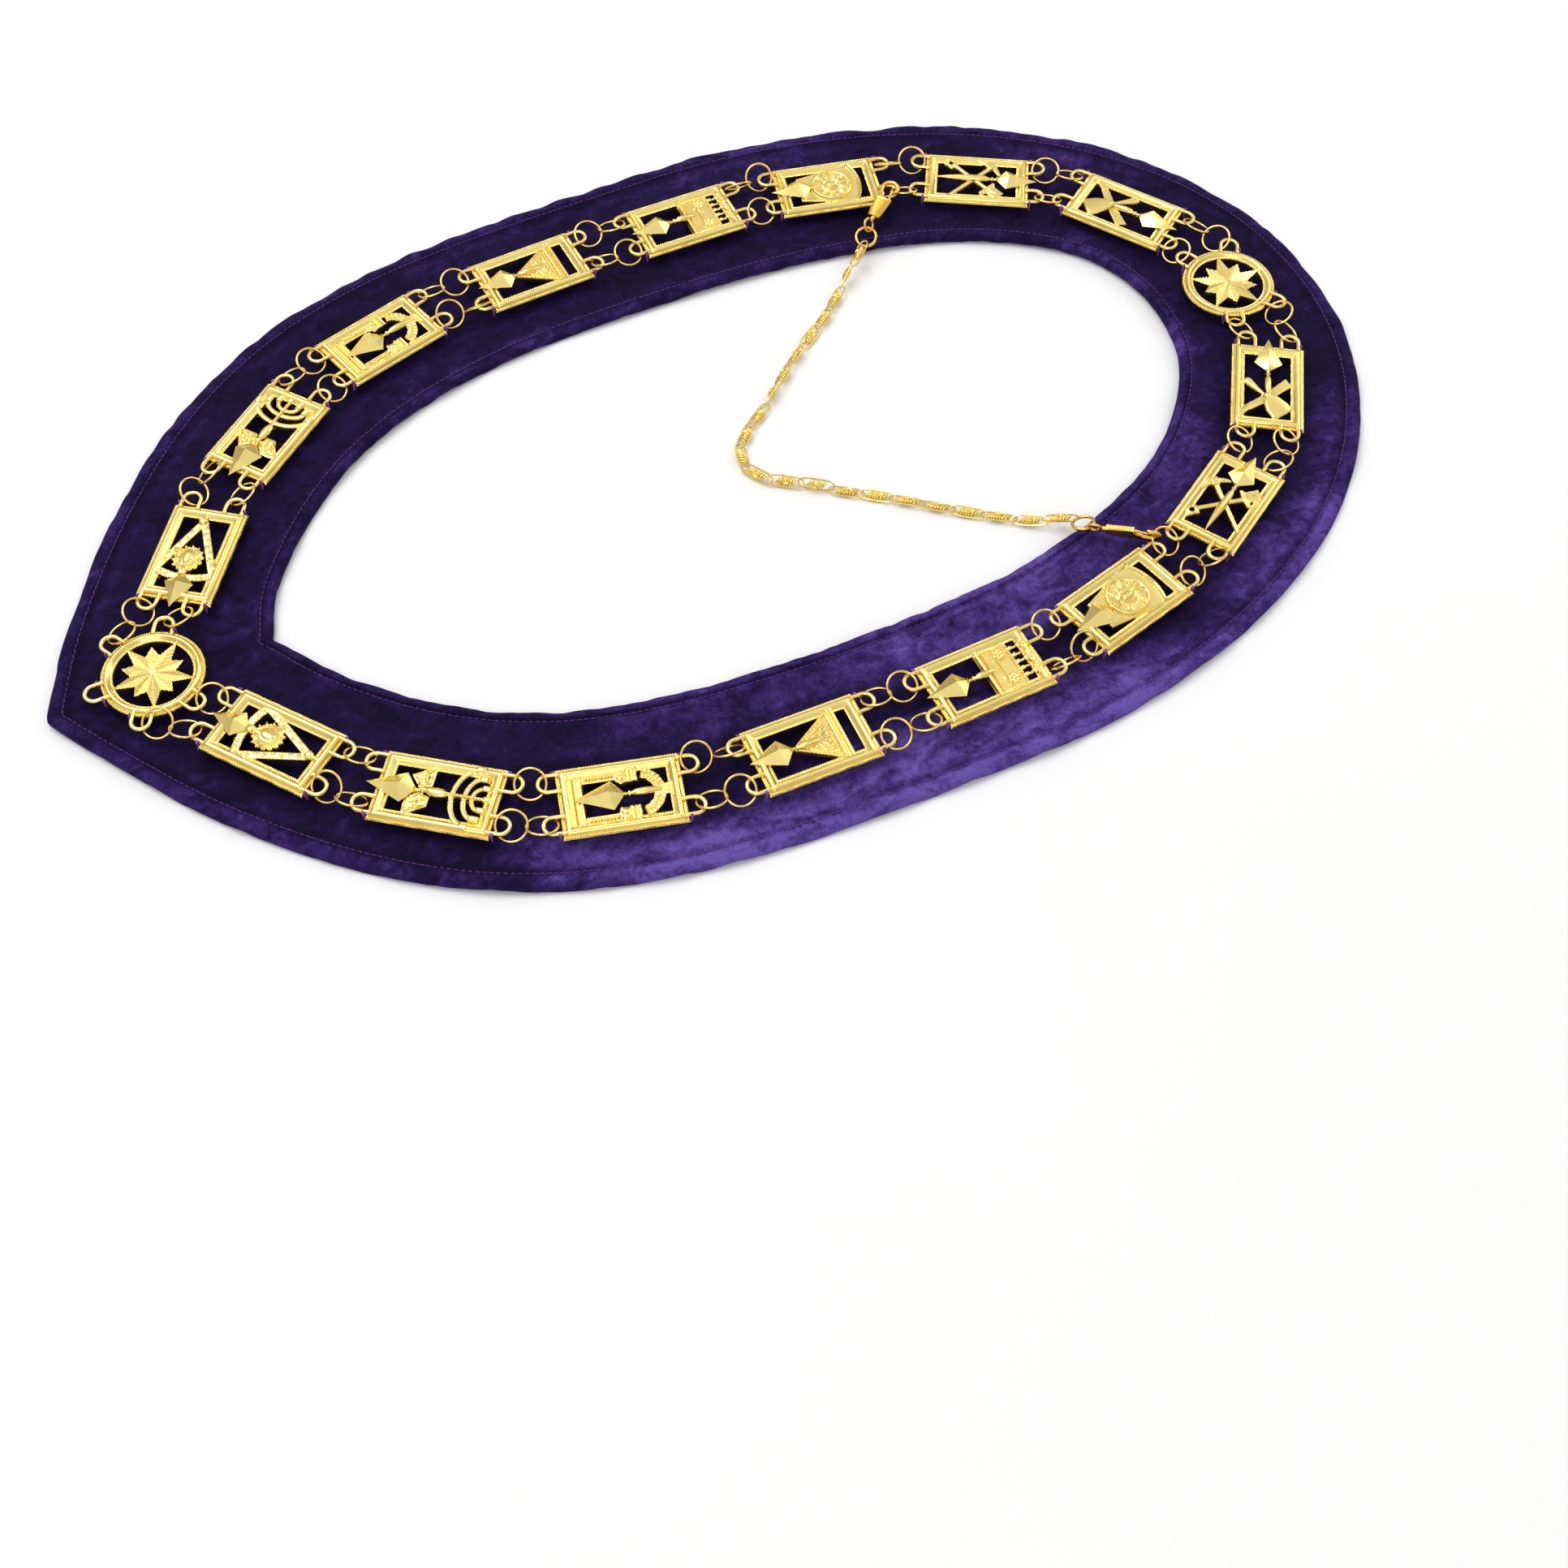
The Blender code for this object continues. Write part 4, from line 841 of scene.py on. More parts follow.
def cast_mesh(name, relief, keep, round_edge=False):
    """The relief as a closed mesh in metres with its flat parts thinned out."""
    x, y, height, cells = cast_grid(relief)
    used = np.zeros(x.shape, bool)
    for di in (0, 1):
        for dj in (0, 1):
            used[di:di + cells.shape[0], dj:dj + cells.shape[1]] |= cells
    count = int(used.sum())
    number = np.full(x.shape, -1)
    number[used] = np.arange(count)
    top = np.stack([x[used], y[used], height[used]], axis=1)
    back = np.stack(tucked(top[:, 0], top[:, 1], round_edge), axis=1)
    i, j = np.nonzero(cells)
    a, b, c, d = number[i, j], number[i + 1, j], number[i + 1, j + 1], number[i, j + 1]
    upper = np.stack([a, b, c, d], axis=1)
    lower = np.stack([d, c, b, a], axis=1) + count
    padded = np.pad(cells, 1)
    walls = []
    for shift, first, second in (((-1, 0), d, a), ((1, 0), b, c), ((0, -1), a, b), ((0, 1), c, d)):
        open_side = ~padded[i + 1 + shift[0], j + 1 + shift[1]]
        p, q = first[open_side], second[open_side]
        walls.append(np.stack([q, p, p + count, q + count], axis=1))
    faces = np.concatenate([upper, lower] + walls)
    mesh = bpy.data.meshes.new(name)
    mesh.from_pydata((np.concatenate([top, back]) * MM).tolist(), [], faces.tolist())
    thin = in_scene(name, mesh)
    thin.modifiers.new("thin", "DECIMATE").ratio = keep
    made = as_shown(thin)
    bpy.data.objects.remove(thin, do_unlink=True)
    mean = blurred(height, used, 3)
    points = np.array([point.co for point in made.vertices]) / MM
    cell = []
    for axis, grid in enumerate((relief.x, relief.y)):
        index = ((points[:, axis] - grid[0, 0]) / relief.pitch).round().astype(int)
        cell.append(np.clip(index, 0, x.shape[axis] - 1))
    # How far each point lies below its surroundings, which colours it with patina and painted shade.
    hollow = np.clip((mean[tuple(cell)] - points[:, 2]) / HOLLOW_DEPTH, 0, 1)
    return made, hollow


def with_parts(name, mesh, hollow, parts):
    """The cast mesh and its loose parts as one mesh, with the hollowness kept for the material's patina and
    painted shade.
    """
    cast = [tuple(v.co) for v in mesh.vertices], [tuple(p.vertices) for p in mesh.polygons]
    made = joined(name, [cast] + parts)
    values = np.zeros(len(made.vertices), np.float32)
    values[:len(hollow)] = hollow
    layer = made.attributes.new("hollow", "FLOAT", "POINT")
    layer.data.foreach_set("value", values)
    return smooth(made, 38.0)


# Castings, in millimetres

HALF_X, HALF_Y = PLATE_LENGTH / MM / 2, PLATE_WIDTH / MM / 2
TUCK, TUCK_REACH = 1.7, 5.0     # how far the back is set in from the edge, and over how wide a border
LIFT = 1.3                      # how far the back of the openwork is above the border's
LIFT_START, LIFT_RAMP = 3.4, 0.8
HOLLOW_DEPTH = 1.3              # a point this far below its surroundings gets the full hollow colour of patina and painted shade
FRAME = 5.4
PLATE_KEEP, MEDALLION_KEEP = 0.30, 0.45         # the share of a casting's faces that thinning leaves
MEDALLION_PITCH = 0.18
# Rope edges: distance from the outer edge, then the grains' spacing, radius and top
FRAME_ROPES = ((0.60, 0.98, 0.44, 3.1), (4.88, 0.95, 0.42, 3.15))
MEDALLION_ROPES = ((0.55, 0.95, 0.44, 3.2), (4.25, 0.9, 0.38, 3.1))
ROPE_GRAIN = (70.0, 1.15)       # slant in degrees, and stretch
# The moulded frame's section: distance from its outer edge and height, in millimetres
FRAME_SECTION = (
    (0.0, 2.2), (0.12, 2.6), (1.0, 2.75), (1.15, 2.65), (1.3, 2.75), (1.5, 3.3), (1.8, 3.75),
    (2.3, 4.1), (2.9, 4.2), (3.4, 3.95), (4.2, 3.2), (4.45, 2.9), (5.3, 2.75), (5.4, 2.5),
)


def frame_height(inset):
    insets, heights = zip(*FRAME_SECTION)
    return np.interp(inset, insets, heights)


def frame_relief(relief):
    inset = np.minimum(HALF_X - np.abs(relief.x), HALF_Y - np.abs(relief.y))
    relief.put(np.maximum(-inset, inset - FRAME), frame_height(inset))
    for step, *grain in FRAME_ROPES:
        a, b = HALF_X - step, HALF_Y - step
        corners = [(-a, -b), (a, -b), (a, b), (-a, b), (-a, -b)]
        for start, end in zip(corners, corners[1:]):
            relief.beads([start, end], *grain, *ROPE_GRAIN)


def compasses(relief):
    hinge = (15.8, 0.5)
    relief.band(hinge, 27.4, 3.2, 3.3, 156, 205)
    for radius in (26.1, 28.7):
        relief.beads(arc(hinge, radius, 158, 203, 30), 0.9, 0.34, 3.6)
    for turn in (161, 167, 193, 199):
        relief.bead(arc(hinge, 27.4, turn, turn + 1, 2)[0], 0.7, 3.75, math.radians(turn + 90), 1.3)
    for tip in ((-9.6, 11.6), (-9.6, -11.3)):
        relief.bar(hinge, tip, 3.0, 3.5, 0.4)
        dx, dy = (tip[0] - hinge[0]) / 27.6, (tip[1] - hinge[1]) / 27.6
        for count, step in enumerate(np.arange(3.8, 24.0, 3.1)):
            aside = 0.4 * (-1) ** count
            place = (hinge[0] + dx * step - dy * aside, hinge[1] + dy * step + dx * aside)
            relief.bead(place, 0.62, 3.9, math.atan2(dy, dx), 1.5)
    sun = (-2.5, 0.9)
    star = []
    for k in range(28):
        reach = 6.4 if k % 2 == 0 else 5.2
        turn = k * math.pi / 14
        star.append((sun[0] + 1.05 * reach * math.cos(turn), sun[1] + reach * math.sin(turn)))
    relief.panel(star, 3.3)
    away, angle = relief.polar(sun)
    relief.height += np.where((away < 6.4) & (away > 3.0), 0.28 * np.cos(28 * angle), 0.0)
    relief.oval(sun, 3.9, 2.9, 3.5, 0.5)
    relief.oval(sun, 2.6, 1.5, 4.2, 0.5)
    relief.rod((-6.0, 0.7), (-13.0, 0.4), 2.6, 4.0)
    relief.disc((-9.2, 0.6), 1.7, 4.3, 0.8)
    relief.disc((15.4, 0.7), 1.7, 4.9, 1.2)
    relief.rod((16.5, 0.6), (18.6, 0.6), 2.2, 4.4, 1.6)


def candlestick(relief):
    arms = (((13.4, 0.4), 8.3, 12.0, 2.0), ((14.8, 0.4), 5.2, 8.5, 1.9), ((16.0, 0.4), 3.6, 4.6, 1.7))
    for centre, radius_x, radius_y, width in arms:
        distance = np.abs(oval_distance(relief.x, relief.y, centre, radius_x, radius_y)) - width / 2
        relief.raised(np.where(relief.x < centre[0] + 0.4, distance, OUTSIDE), 3.6, 0.6)
        half = [(centre[0] - radius_x * math.cos(a), centre[1] + radius_y * math.sin(a))
                for a in np.linspace(-1.35, 1.35, 30)]
        relief.beads(half, 0.95, 0.34, 3.85)
    relief.rod((-5.0, 0.4), (17.5, 0.4), 1.5, 3.8)
    relief.beads([(4.5, 0.4), (16.5, 0.4)], 1.1, 0.62, 4.4)
    relief.oval((-0.3, 0.4), 4.3, 2.0, 3.0, 1.4)
    cups = ((12.7, 12.4), (15.1, 8.6), (16.9, 5.0), (18.3, 0.5), (16.9, -4.2), (15.0, -8.0), (12.6, -11.8))
    for place in cups:
        relief.block(place, 1.7, 1.25, 4.4, 0.9)
        relief.on_top(box_distance(relief.x, relief.y, (place[0] + 1.1, place[1]), 0.22, 1.3), -0.35, 0.2)
    upper = [(-2.6, 11.6), (-11.2, 6.2), (-7.0, 0.9), (-2.6, 2.6)]
    lower = [(-2.6, -1.8), (-2.6, -6.0), (-10.9, -11.2), (-11.3, -3.2), (-7.4, -0.4)]
    for wing in (upper, lower):
        distance = relief.panel(wing, 3.2, 0.4)
        relief.on_top(np.abs(distance + 0.9) - 0.25, 0.25, 0.2)
    feathers = (((-3.4, 9.6), (-7.8, 6.0)), ((-3.4, 6.6), (-8.4, 4.6)), ((-3.8, 3.8), (-8.0, 2.4)),
                ((-5.4, 8.2), (-5.0, 3.2)), ((-3.6, -5.6), (-8.6, -8.2)), ((-3.6, -3.0), (-9.6, -5.4)),
                ((-6.6, -1.4), (-9.8, -3.6)), ((-7.2, -8.0), (-6.6, -3.2)))
    for start, end in feathers:
        relief.leaf(start, end, 1.6, 0.75)
    relief.disc((-5.6, 0.5), 1.3, 4.2, 0.9)


def arch(relief):
    relief.block((-15.6, 0), 2.6, 10.0, 2.5)
    for across in (-17.3, -15.7, -14.2):
        relief.bar((across, -9.9), (across, 9.9), 1.1, 3.5, 0.4)
    for side in (-1, 1):
        relief.block((-6.0, side * 8.6), 7.4, 1.6, 2.6)
        relief.bar((-13.2, side * 7.5), (0.5, side * 7.5), 0.7, 3.1)
        relief.beads([(-12.6, side * 8.75), (0.0, side * 8.75)], 1.1, 0.5, 3.4)
        relief.disc((0.6, side * 7.4), 2.5, 3.3, 0.8)
        relief.disc((0.4, side * 7.2), 1.2, 4.0, 0.6)
        relief.block((4.4, side * 7.9), 2.3, 2.9, 3.2, 0.4)
        for across in (3.0, 4.4, 5.8):
            relief.bar((across, side * 5.2), (across, side * 10.6), 0.8, 3.9, 0.35)
        for place in ((-0.8, 5.4), (1.4, 9.4), (-1.2, 9.2)):
            relief.bead((place[0], side * place[1]), 0.7, 3.7)
    away, angle = relief.polar((5.4, 0.0))
    angle, off = np.degrees(angle), np.abs(away - 8.5)
    relief.raised(np.where(np.abs(angle) < 74, off - 2.2, OUTSIDE), 3.0, 0.3)
    blocks = np.abs((angle / 10.0) % 1 - 0.5) * 2
    relief.height += np.where((np.abs(angle) < 72) & (off < 2.1),
                              0.55 * np.clip(3 * (1 - blocks), 0, 1) * (off > 0.25), 0)
    relief.panel([(11.6, -1.5), (18.0, -2.6), (18.0, 2.6), (11.6, 1.5)], 3.9, 0.4)
    for across in (-0.9, 0.9):
        groove = segment_distance(relief.x, relief.y, (12.5, across * 0.7), (17.6, across), 0.2)[0]
        relief.on_top(groove, -0.4, 0.2)


def triangle(relief):
    outline = [(-8.2, 0.0), (10.4, -11.4), (10.4, 11.4)]
    distance = relief.panel(outline, 2.9)
    relief.on_top(np.abs(distance + 0.6) - 0.5, 0.75, 0.25)
    relief.on_top(np.abs(distance + 2.9) - 0.3, 0.35, 0.2)
    inset = [(-3.6, 0.0), (9.0, -7.8), (9.0, 7.8), (-3.6, 0.0)]
    for start, end in zip(inset, inset[1:]):
        relief.beads([start, end], 0.85, 0.3, 3.45)
    relief.block((11.5, 0), 1.3, 11.3, 3.0)
    for across in (10.7, 12.2):
        relief.bar((across, -11.2), (across, 11.2), 0.7, 3.9, 0.3)
    leaves = (((0.5, 0.4), (6.4, 1.0), 2.2), ((1.0, 1.4), (4.6, 4.4), 1.4), ((1.2, -0.6), (5.0, -3.6), 1.6),
              ((3.0, 1.6), (7.4, 3.6), 1.4), ((3.2, -1.2), (7.6, -2.8), 1.4), ((-1.8, 0.2), (1.6, 1.8), 1.2),
              ((4.4, 0.4), (8.2, 0.2), 1.3), ((5.2, -3.8), (8.0, -5.2), 1.1), ((5.2, 4.2), (8.0, 5.6), 1.1))
    for start, end, width in leaves:
        relief.leaf(start, end, width, 0.8)


def flower(relief, centre, radius):
    for k in range(6):
        petal = on_circle(centre, 0.62 * radius, math.radians(60 * k + 15))
        relief.bead(petal, 0.40 * radius, 3.75)
    relief.bead(centre, 0.36 * radius, 4.0)


def rosettes(relief):
    relief.block((6.7, 0), 6.7, 10.2, 2.6)
    relief.bar((1.2, -10.9), (1.2, 10.9), 1.3, 3.8, 0.5)
    for across, radius in ((2.9, 0.42), (7.1, 0.32), (12.9, 0.5)):
        relief.beads([(across, -9.4), (across, 9.4)], 1.0, radius, 2.95 + radius)
    for side in (-1, 1):
        relief.beads([(3.4, side * 9.5), (12.6, side * 9.5)], 1.05, 0.45, 3.3)
        flower(relief, (8.9, side * 5.9), 2.7)
    relief.beads([(3.8, 0.1), (6.6, 0.1)], 0.9, 0.3, 3.1)
    for across in (6.5, 3.2, 0.0, -3.2, -6.5):
        relief.rod((13.0, across), (18.0, across), 1.3, 3.2, 0.9)
        relief.disc((14.3, across), 0.95, 3.5, 0.5)
    for across, size in ((6.4, 1.5), (3.4, 1.0), (0.0, 1.5), (-3.4, 1.0), (-6.4, 1.5)):
        relief.disc((17.6, across), 0.8 * size, 3.9, 0.7)
        for spot in arc((17.6, across), 1.7, -52, 52, 2):
            relief.bead(spot, 0.62 * size, 4.4)


def keystone(relief):
    front, back, narrow, wide, bulge = -13.0, 11.6, 6.9, 11.9, 3.2
    radius = (wide ** 2 + bulge ** 2) / (2 * bulge)
    spread = math.degrees(math.asin(wide / radius))
    middle = (back + bulge - radius, 0)
    outline = [(front, -narrow)] + arc(middle, radius, -spread, spread, 10) + [(front, narrow)]
    distance = relief.panel(outline, 3.1)
    relief.on_top(np.abs(distance + 0.55) - 0.45, 0.35, 0.25)
    rim = np.abs(relief.polar(middle)[0] - (radius - 0.9)) - 0.8
    relief.on_top(np.where(relief.x > 8, np.maximum(rim, distance + 0.1), OUTSIDE), 0.8, 0.45)
    centre = (1.6, 0.2)
    relief.disc(centre, 8.2, 3.45, 0.3)
    relief.band(centre, 8.0, 0.8, 4.15)
    relief.band(centre, 3.7, 0.6, 3.9)
    for k in range(12):
        ends = [on_circle(centre, away, math.radians(30 * k + 12)) for away in (5.0, 6.8)]
        relief.rod(*ends, 0.8, 4.05)
    relief.rod((-5.4, 0.2), (8.4, 0.2), 0.9, 4.1)
    relief.oval(centre, 2.4, 1.5, 3.9, 0.7)


def pick_and_spade(relief):
    relief.rod((-11.4, -10.6), (6.2, 8.0), 2.1, 3.9, 2.3)
    away, angle = relief.polar((-1.4, 0.2))
    share = np.clip(1 - np.abs(np.degrees(angle) - 50) / 38, 0, 1)
    distance = np.abs(away - 11.3) - (0.4 + 1.1 * np.sqrt(share))
    relief.raised(np.where(share > 0, distance, OUTSIDE), 3.7, 0.6)
    relief.block((5.9, 8.0), 1.9, 1.6, 4.5, 0.6, 45)
    relief.rod((-11.0, 9.0), (3.4, -4.6), 2.1, 3.9)
    relief.block((-11.6, 9.0), 2.6, 2.3, 3.5, 0.6, -42)
    relief.band((-11.6, 9.0), 1.5, 0.7, 3.9)
    blade = [(1.0, -8.4), (2.3, -9.6), (4.2, -8.3), (8.6, -11.2), (11.8, -7.9),
             (8.0, -4.4), (7.7, -3.0), (6.9, -2.2), (3.6, -4.8)]
    relief.panel(blade, 3.4, 0.4)
    relief.bar((1.4, -9.0), (7.4, -2.6), 1.3, 4.0, 0.4)
    relief.rod((3.4, -4.6), (8.4, -8.8), 1.2, 4.0, 0.5)
    relief.cut(relief.polar((-11.6, 9.0))[0] - 1.0)


def shovel_and_bar(relief):
    beam = [(-14.8, 8.5), (-12.6, 10.7), (-4.4, 1.4), (5.2, -7.2), (1.2, -9.8), (-7.6, -0.8)]
    relief.panel(beam, 3.1, 0.4)
    relief.block((-14.4, 9.5), 1.2, 3.0, 3.4, 0.5, 47)
    relief.rod((2.0, 7.9), (-5.4, 1.0), 3.8, 3.9, 1.3)
    blade = [(-5.2, 0.9), (-9.5, 1.5), (-13.5, 0.5), (-17.6, -2.4), (-16.4, -5.0), (-14.3, -7.7),
             (-11.4, -10.2), (-8.6, -8.0), (-6.2, -4.6), (-4.9, -0.8)]
    distance = polygon_distance(relief.x, relief.y, blade)
    along = (-(relief.x + 5.0) * 0.78 - (relief.y - 0.2) * 0.62) / 13.0
    across = ((relief.x + 5.0) * 0.62 - (relief.y - 0.2) * 0.78) / 5.5
    dish = 3.3 + 1.0 * (1 - np.clip(along, 0, 1)) + 0.5 * (1 - np.clip(np.abs(across), 0, 1.2) ** 2)
    relief.put(distance, dish - 0.5 * np.clip(1 + distance / 0.6, 0, 1))
    relief.rod((8.0, 0), (4.6, 0), 1.5, 3.9)
    relief.disc((-5.7, 0.2), 1.4, 4.9, 1.1)


DESIGNS = (compasses, candlestick, arch, triangle, rosettes, keystone, pick_and_spade, shovel_and_bar)
# Each design's trowel in millimetres: the tip, the way it points, the length, the half width, the
# turned handle's length behind the blade, and the bulge of that handle
TROWEL_COLUMNS = ("tip", "heading", "length", "half", "handle", "bulge")
TROWELS = (
    (-26.2, -1, 16.0, 5.6, 3.0, 1.1), (-26.2, -1, 18.4, 6.2, 4.0, 0.9), (-17.0, -1, 18.4, 6.1, 14.5, 1.35),
    (-24.0, -1, 17.0, 5.7, 11.0, 1.2), (-24.5, -1, 18.0, 5.6, 11.5, 1.3), (-25.0, -1, 18.0, 5.8, 3.0, 0.9),
    (25.8, 1, 17.8, 5.6, 26.0, 1.4), (25.4, 1, 18.2, 5.6, 13.0, 1.25),
)
RIDGE_HEIGHT = 6.9
# Every handle's turned start behind the blade: distance and radius
HANDLE_PROFILE = ((0.0, 1.5), (0.6, 0.75), (1.6, 0.6), (2.0, 1.15), (2.5, 1.25), (2.8, 0.7), (3.4, 0.8))


def trowel(facts):
    """A faceted blade above the frame and its turned handle, in metres."""
    tip, heading, length, half, run, bulge = (facts[key] for key in TROWEL_COLUMNS)
    heel, wide = tip - heading * length, tip - heading * (length - 4.6)
    rings = []
    for low, inset in ((3.2, 0.5), (3.5, 0.0), (3.9, 0.0)):
        rings.append([(tip - heading * inset * 2.2, 0, low), (wide, -half + inset, low),
                      (heel + heading * inset * 1.3, 0, low), (wide, half - inset, low)])
    points, faces = loft(rings, False)
    last = len(points) - 4
    points.append((wide + heading * 1.2, 0, RIDGE_HEIGHT))
    faces = faces[:-1] + [(last + k, last + (k + 1) % 4, last + 4) for k in range(4)]
    turned = [(place, 3.55, radius) for place, radius in HANDLE_PROFILE if place < run]
    if run > 5:
        for share in np.linspace(0.1, 1, 9):
            swell = math.sin(math.pi * (0.22 + 0.78 * share)) ** 0.8
            turned.append((3.4 + share * (run - 3.4), 3.6, 0.25 + bulge * swell))
    path = [(heel - heading * (place - 0.8), 0, height) for place, height, _ in turned]
    handle = tube(path, [radius for *_, radius in turned], 12)
    return [([tuple(np.array(point) * MM) for point in part[0]], part[1])
            for part in ((points, faces), handle)]


LOOP_TRIM = 0.7 * MM            # how much narrower than the solid's each half of a loop is


def loop_parts(angle, foot):
    """A round cast loop with small collars where it leaves the casting."""
    radius = LOOP_RADIUS - LOOP_TRIM
    bend = (LOOP_LEG + LOOP_TRIM + 0.1 * MM, 0)
    path = [(-1.6 * MM, -radius)] + arc(bend, radius, -90, 90, 16) + [(-1.6 * MM, radius)]
    body = tube([(x, y, LOOP_HEIGHT) for x, y in path], LOOP_WIRE / 2 + 0.13 * MM, 10)
    parts = [body]
    for y in (-radius, radius):
        collar = [(-0.6 * MM, y, LOOP_HEIGHT - 0.3 * MM), (0.25 * MM, y, LOOP_HEIGHT)]
        parts.append(tube(collar, [LOOP_WIRE * 0.72, LOOP_WIRE * 0.6], 10))
    return [moved(part, stood(foot, 0, math.radians(angle))) for part in parts]


def plate(index):
    relief = Relief(HALF_X, HALF_Y)
    frame_relief(relief)
    DESIGNS[index](relief)
    mesh, hollow = cast_mesh("plate", relief, PLATE_KEEP)
    parts = trowel(dict(zip(TROWEL_COLUMNS, TROWELS[index])))
    for side, angle in ((-1, 180), (1, 0)):
        for across in (-LOOP_SPREAD, LOOP_SPREAD):
            parts += loop_parts(angle, (side * PLATE_LENGTH / 2, across))
    return with_parts(f"plate_{index + 1}", mesh, hollow, parts)


STAR_LONG, STAR_SHORT, STAR_NOTCH = 15.9, 11.9, 8.3
STAR_STEP = 36                  # degrees from one of the star's points to the next
STAR_TURNS = {True: 90 - 33, False: 90 + 3}     # where the front's and the back's first point is
MEDALLION_BAND = 4.7


def medallion(name, front):
    radius = MEDALLION_RADIUS / MM
    relief = Relief(radius, radius, MEDALLION_PITCH)
    away, angle = relief.polar()
    inset = radius - away
    relief.put(np.maximum(-inset, inset - MEDALLION_BAND), frame_height(inset * FRAME / MEDALLION_BAND))
    for step, *grain in MEDALLION_ROPES:
        relief.beads(arc((0, 0), radius - step, 0, 360, 180), *grain, *ROPE_GRAIN)
    points = []
    for k in range(20):
        reach = STAR_NOTCH if k % 2 else (STAR_LONG if k % 4 == 0 else STAR_SHORT)
        points.append(on_circle((0, 0), reach, math.radians(STAR_TURNS[front] + STAR_STEP / 2 * k)))
    relative = (angle - math.radians(STAR_TURNS[front])) % (2 * math.pi)
    off = relative - np.round(relative / math.radians(STAR_STEP)) * math.radians(STAR_STEP)
    along, across = away * np.cos(off), np.abs(away * np.sin(off))
    ridge = 1.0 - np.clip(across / 2.8, 0, 1)
    ribs = 0.15 * np.cos(2 * math.pi * (along + 0.6 * across) / 1.05)
    height = 2.7 + 0.65 * ridge + 0.55 * np.clip(1 - away / 12.0, 0, 1) + np.where(away > 1.0, ribs, 0.0)
    relief.put(polygon_distance(relief.x, relief.y, points), height)
    mesh, hollow = cast_mesh(name, relief, MEDALLION_KEEP, True)
    parts = []
    for degrees in medallion_headings(front):
        parts += loop_parts(degrees, medallion_edge(degrees))
    return with_parts(name, mesh, hollow, parts)


def castings():
    for index in range(len(DESIGNS)):
        mesh = plate(index)
        for side, word in SIDES:
            place, turn = plate_place(index + 1, side)
            node = f"plate_{index + 1}_{word}"
            shown(f"cast_{node}", mesh, GOLD, [node], matrix=stood(place, SEAT_HEIGHT, turn))
    for name, front in (("front_medallion", True), ("back_medallion", False)):
        place = stood(medallion_place(front), SEAT_HEIGHT, 0)
        shown(f"cast_{name}", medallion(name, front), GOLD, [name], matrix=place)


# Jump rings

def open_ring(centre, forward, rise, radius, wire, gap_angle, gap, segments=40, sides=8):
    """A round wire ring whose two cut ends nearly meet; the gap is in degrees."""
    angles = np.radians(np.linspace(gap_angle + gap / 2, gap_angle + 360 - gap / 2, segments + 1))
    path = [centre + radius * (forward * math.cos(a) + rise * math.sin(a)) for a in angles]
    return tube(path, wire / 2, sides, up=forward.cross(rise))


RING_CUT = 1.6                  # degrees
RING_CUT_PLACES = (70.0, 110.0, 250.0)


def jump_rings():
    for (side, word), rows in zip(SIDES, (NEAR_STRINGS, FAR_STRINGS)):
        for gap, row in enumerate(rows):
            for outer, where in enumerate(("inner", "outer")):
                parts = []
                for centre, forward, rise, _ in string_rings(gap, side, outer, *row[4 * outer:4 * outer + 4]):
                    cut = random.choice(RING_CUT_PLACES) + random.uniform(-15, 15)
                    parts.append(open_ring(centre, forward, rise, RING_RADIUS, RING_WIRE, cut, RING_CUT))
                node = f"rings_{gap}_{gap + 1}_{word}_{where}"
                shown(f"jump_{node}", smooth(joined(node, parts), 50.0), RING_GOLD, [node])


# Snap clasps

EYE_RADIUS = (EYE_DIAMETER - EYE_WIRE) / 2
HOOK_RADIUS = (HOOK_WIDTH - HOOK_WIRE) / 2
GRIP_END = GRIP_START + GRIP_LENGTH
LAST_RIB = GRIP_END - GRIP_LENGTH / GRIP_RIBS / 2
HOOK_SIDE = GRIP_HOOK_WIDTH / 2 - HOOK_WIRE / 2 - 2 * RIB_DEPTH
FINE_RIBS = 11
FINE_RIB_DEPTH = 0.28 * MM      # on the flat faces
FINE_RIB_NOTCH = 0.18 * MM      # on the narrow sides


def grip_part():
    """A fan-shaped grip with fine curved ribs across it, rounded along its sides."""
    stations, across = 66, 12
    rings = []
    for i in range(stations + 1):
        share = i / stations
        width = GRIP_EYE_WIDTH + (GRIP_HOOK_WIDTH - GRIP_EYE_WIDTH) * math.sqrt(share)
        fade = min(share, 1 - share, 0.06) / 0.06
        ring = []
        for j in range(across + 1):
            v = -1 + 2 * j / across
            bent = share + 0.10 * (1 - v * v) - 0.05
            rib = (0.5 + 0.5 * math.cos(2 * math.pi * bent * FINE_RIBS)) * fade
            thick = CLASP_THICKNESS / 2 * (0.62 + 0.38 * math.sqrt(max(1 - v * v, 0))) - FINE_RIB_DEPTH * rib
            ring.append((GRIP_START + GRIP_LENGTH * share, v * (width / 2 - FINE_RIB_NOTCH * rib), thick))
        rings.append(ring + [(x, y, -z) for x, y, z in reversed(ring)])
    return loft(rings, False)


def hook_part():
    """The hook tapers from the grip round its bend to a blunt nose."""
    path = [(LAST_RIB - HOOK_WIRE, HOOK_SIDE), (LAST_RIB + HOOK_WIRE / 2, HOOK_SIDE)]
    path += list(reversed(arc((HOOK_CENTRE, 0), HOOK_RADIUS, -90, 90, 16)))
    path.append((HOOK_CENTRE - NOSE_LENGTH, -HOOK_RADIUS))
    path = np.array(path)
    share = np.linspace(0, 1, 34)
    path = at_lengths(path, share * arc_lengths(path)[-1])
    taper = np.interp(share, (0, 0.15, 0.5, 0.85, 0.97, 1), (1.2, 1.05, 0.98, 1.0, 0.95, 0.55))
    return tube([(x, y, 0) for x, y in path], HOOK_WIRE / 2 * taper, 12)


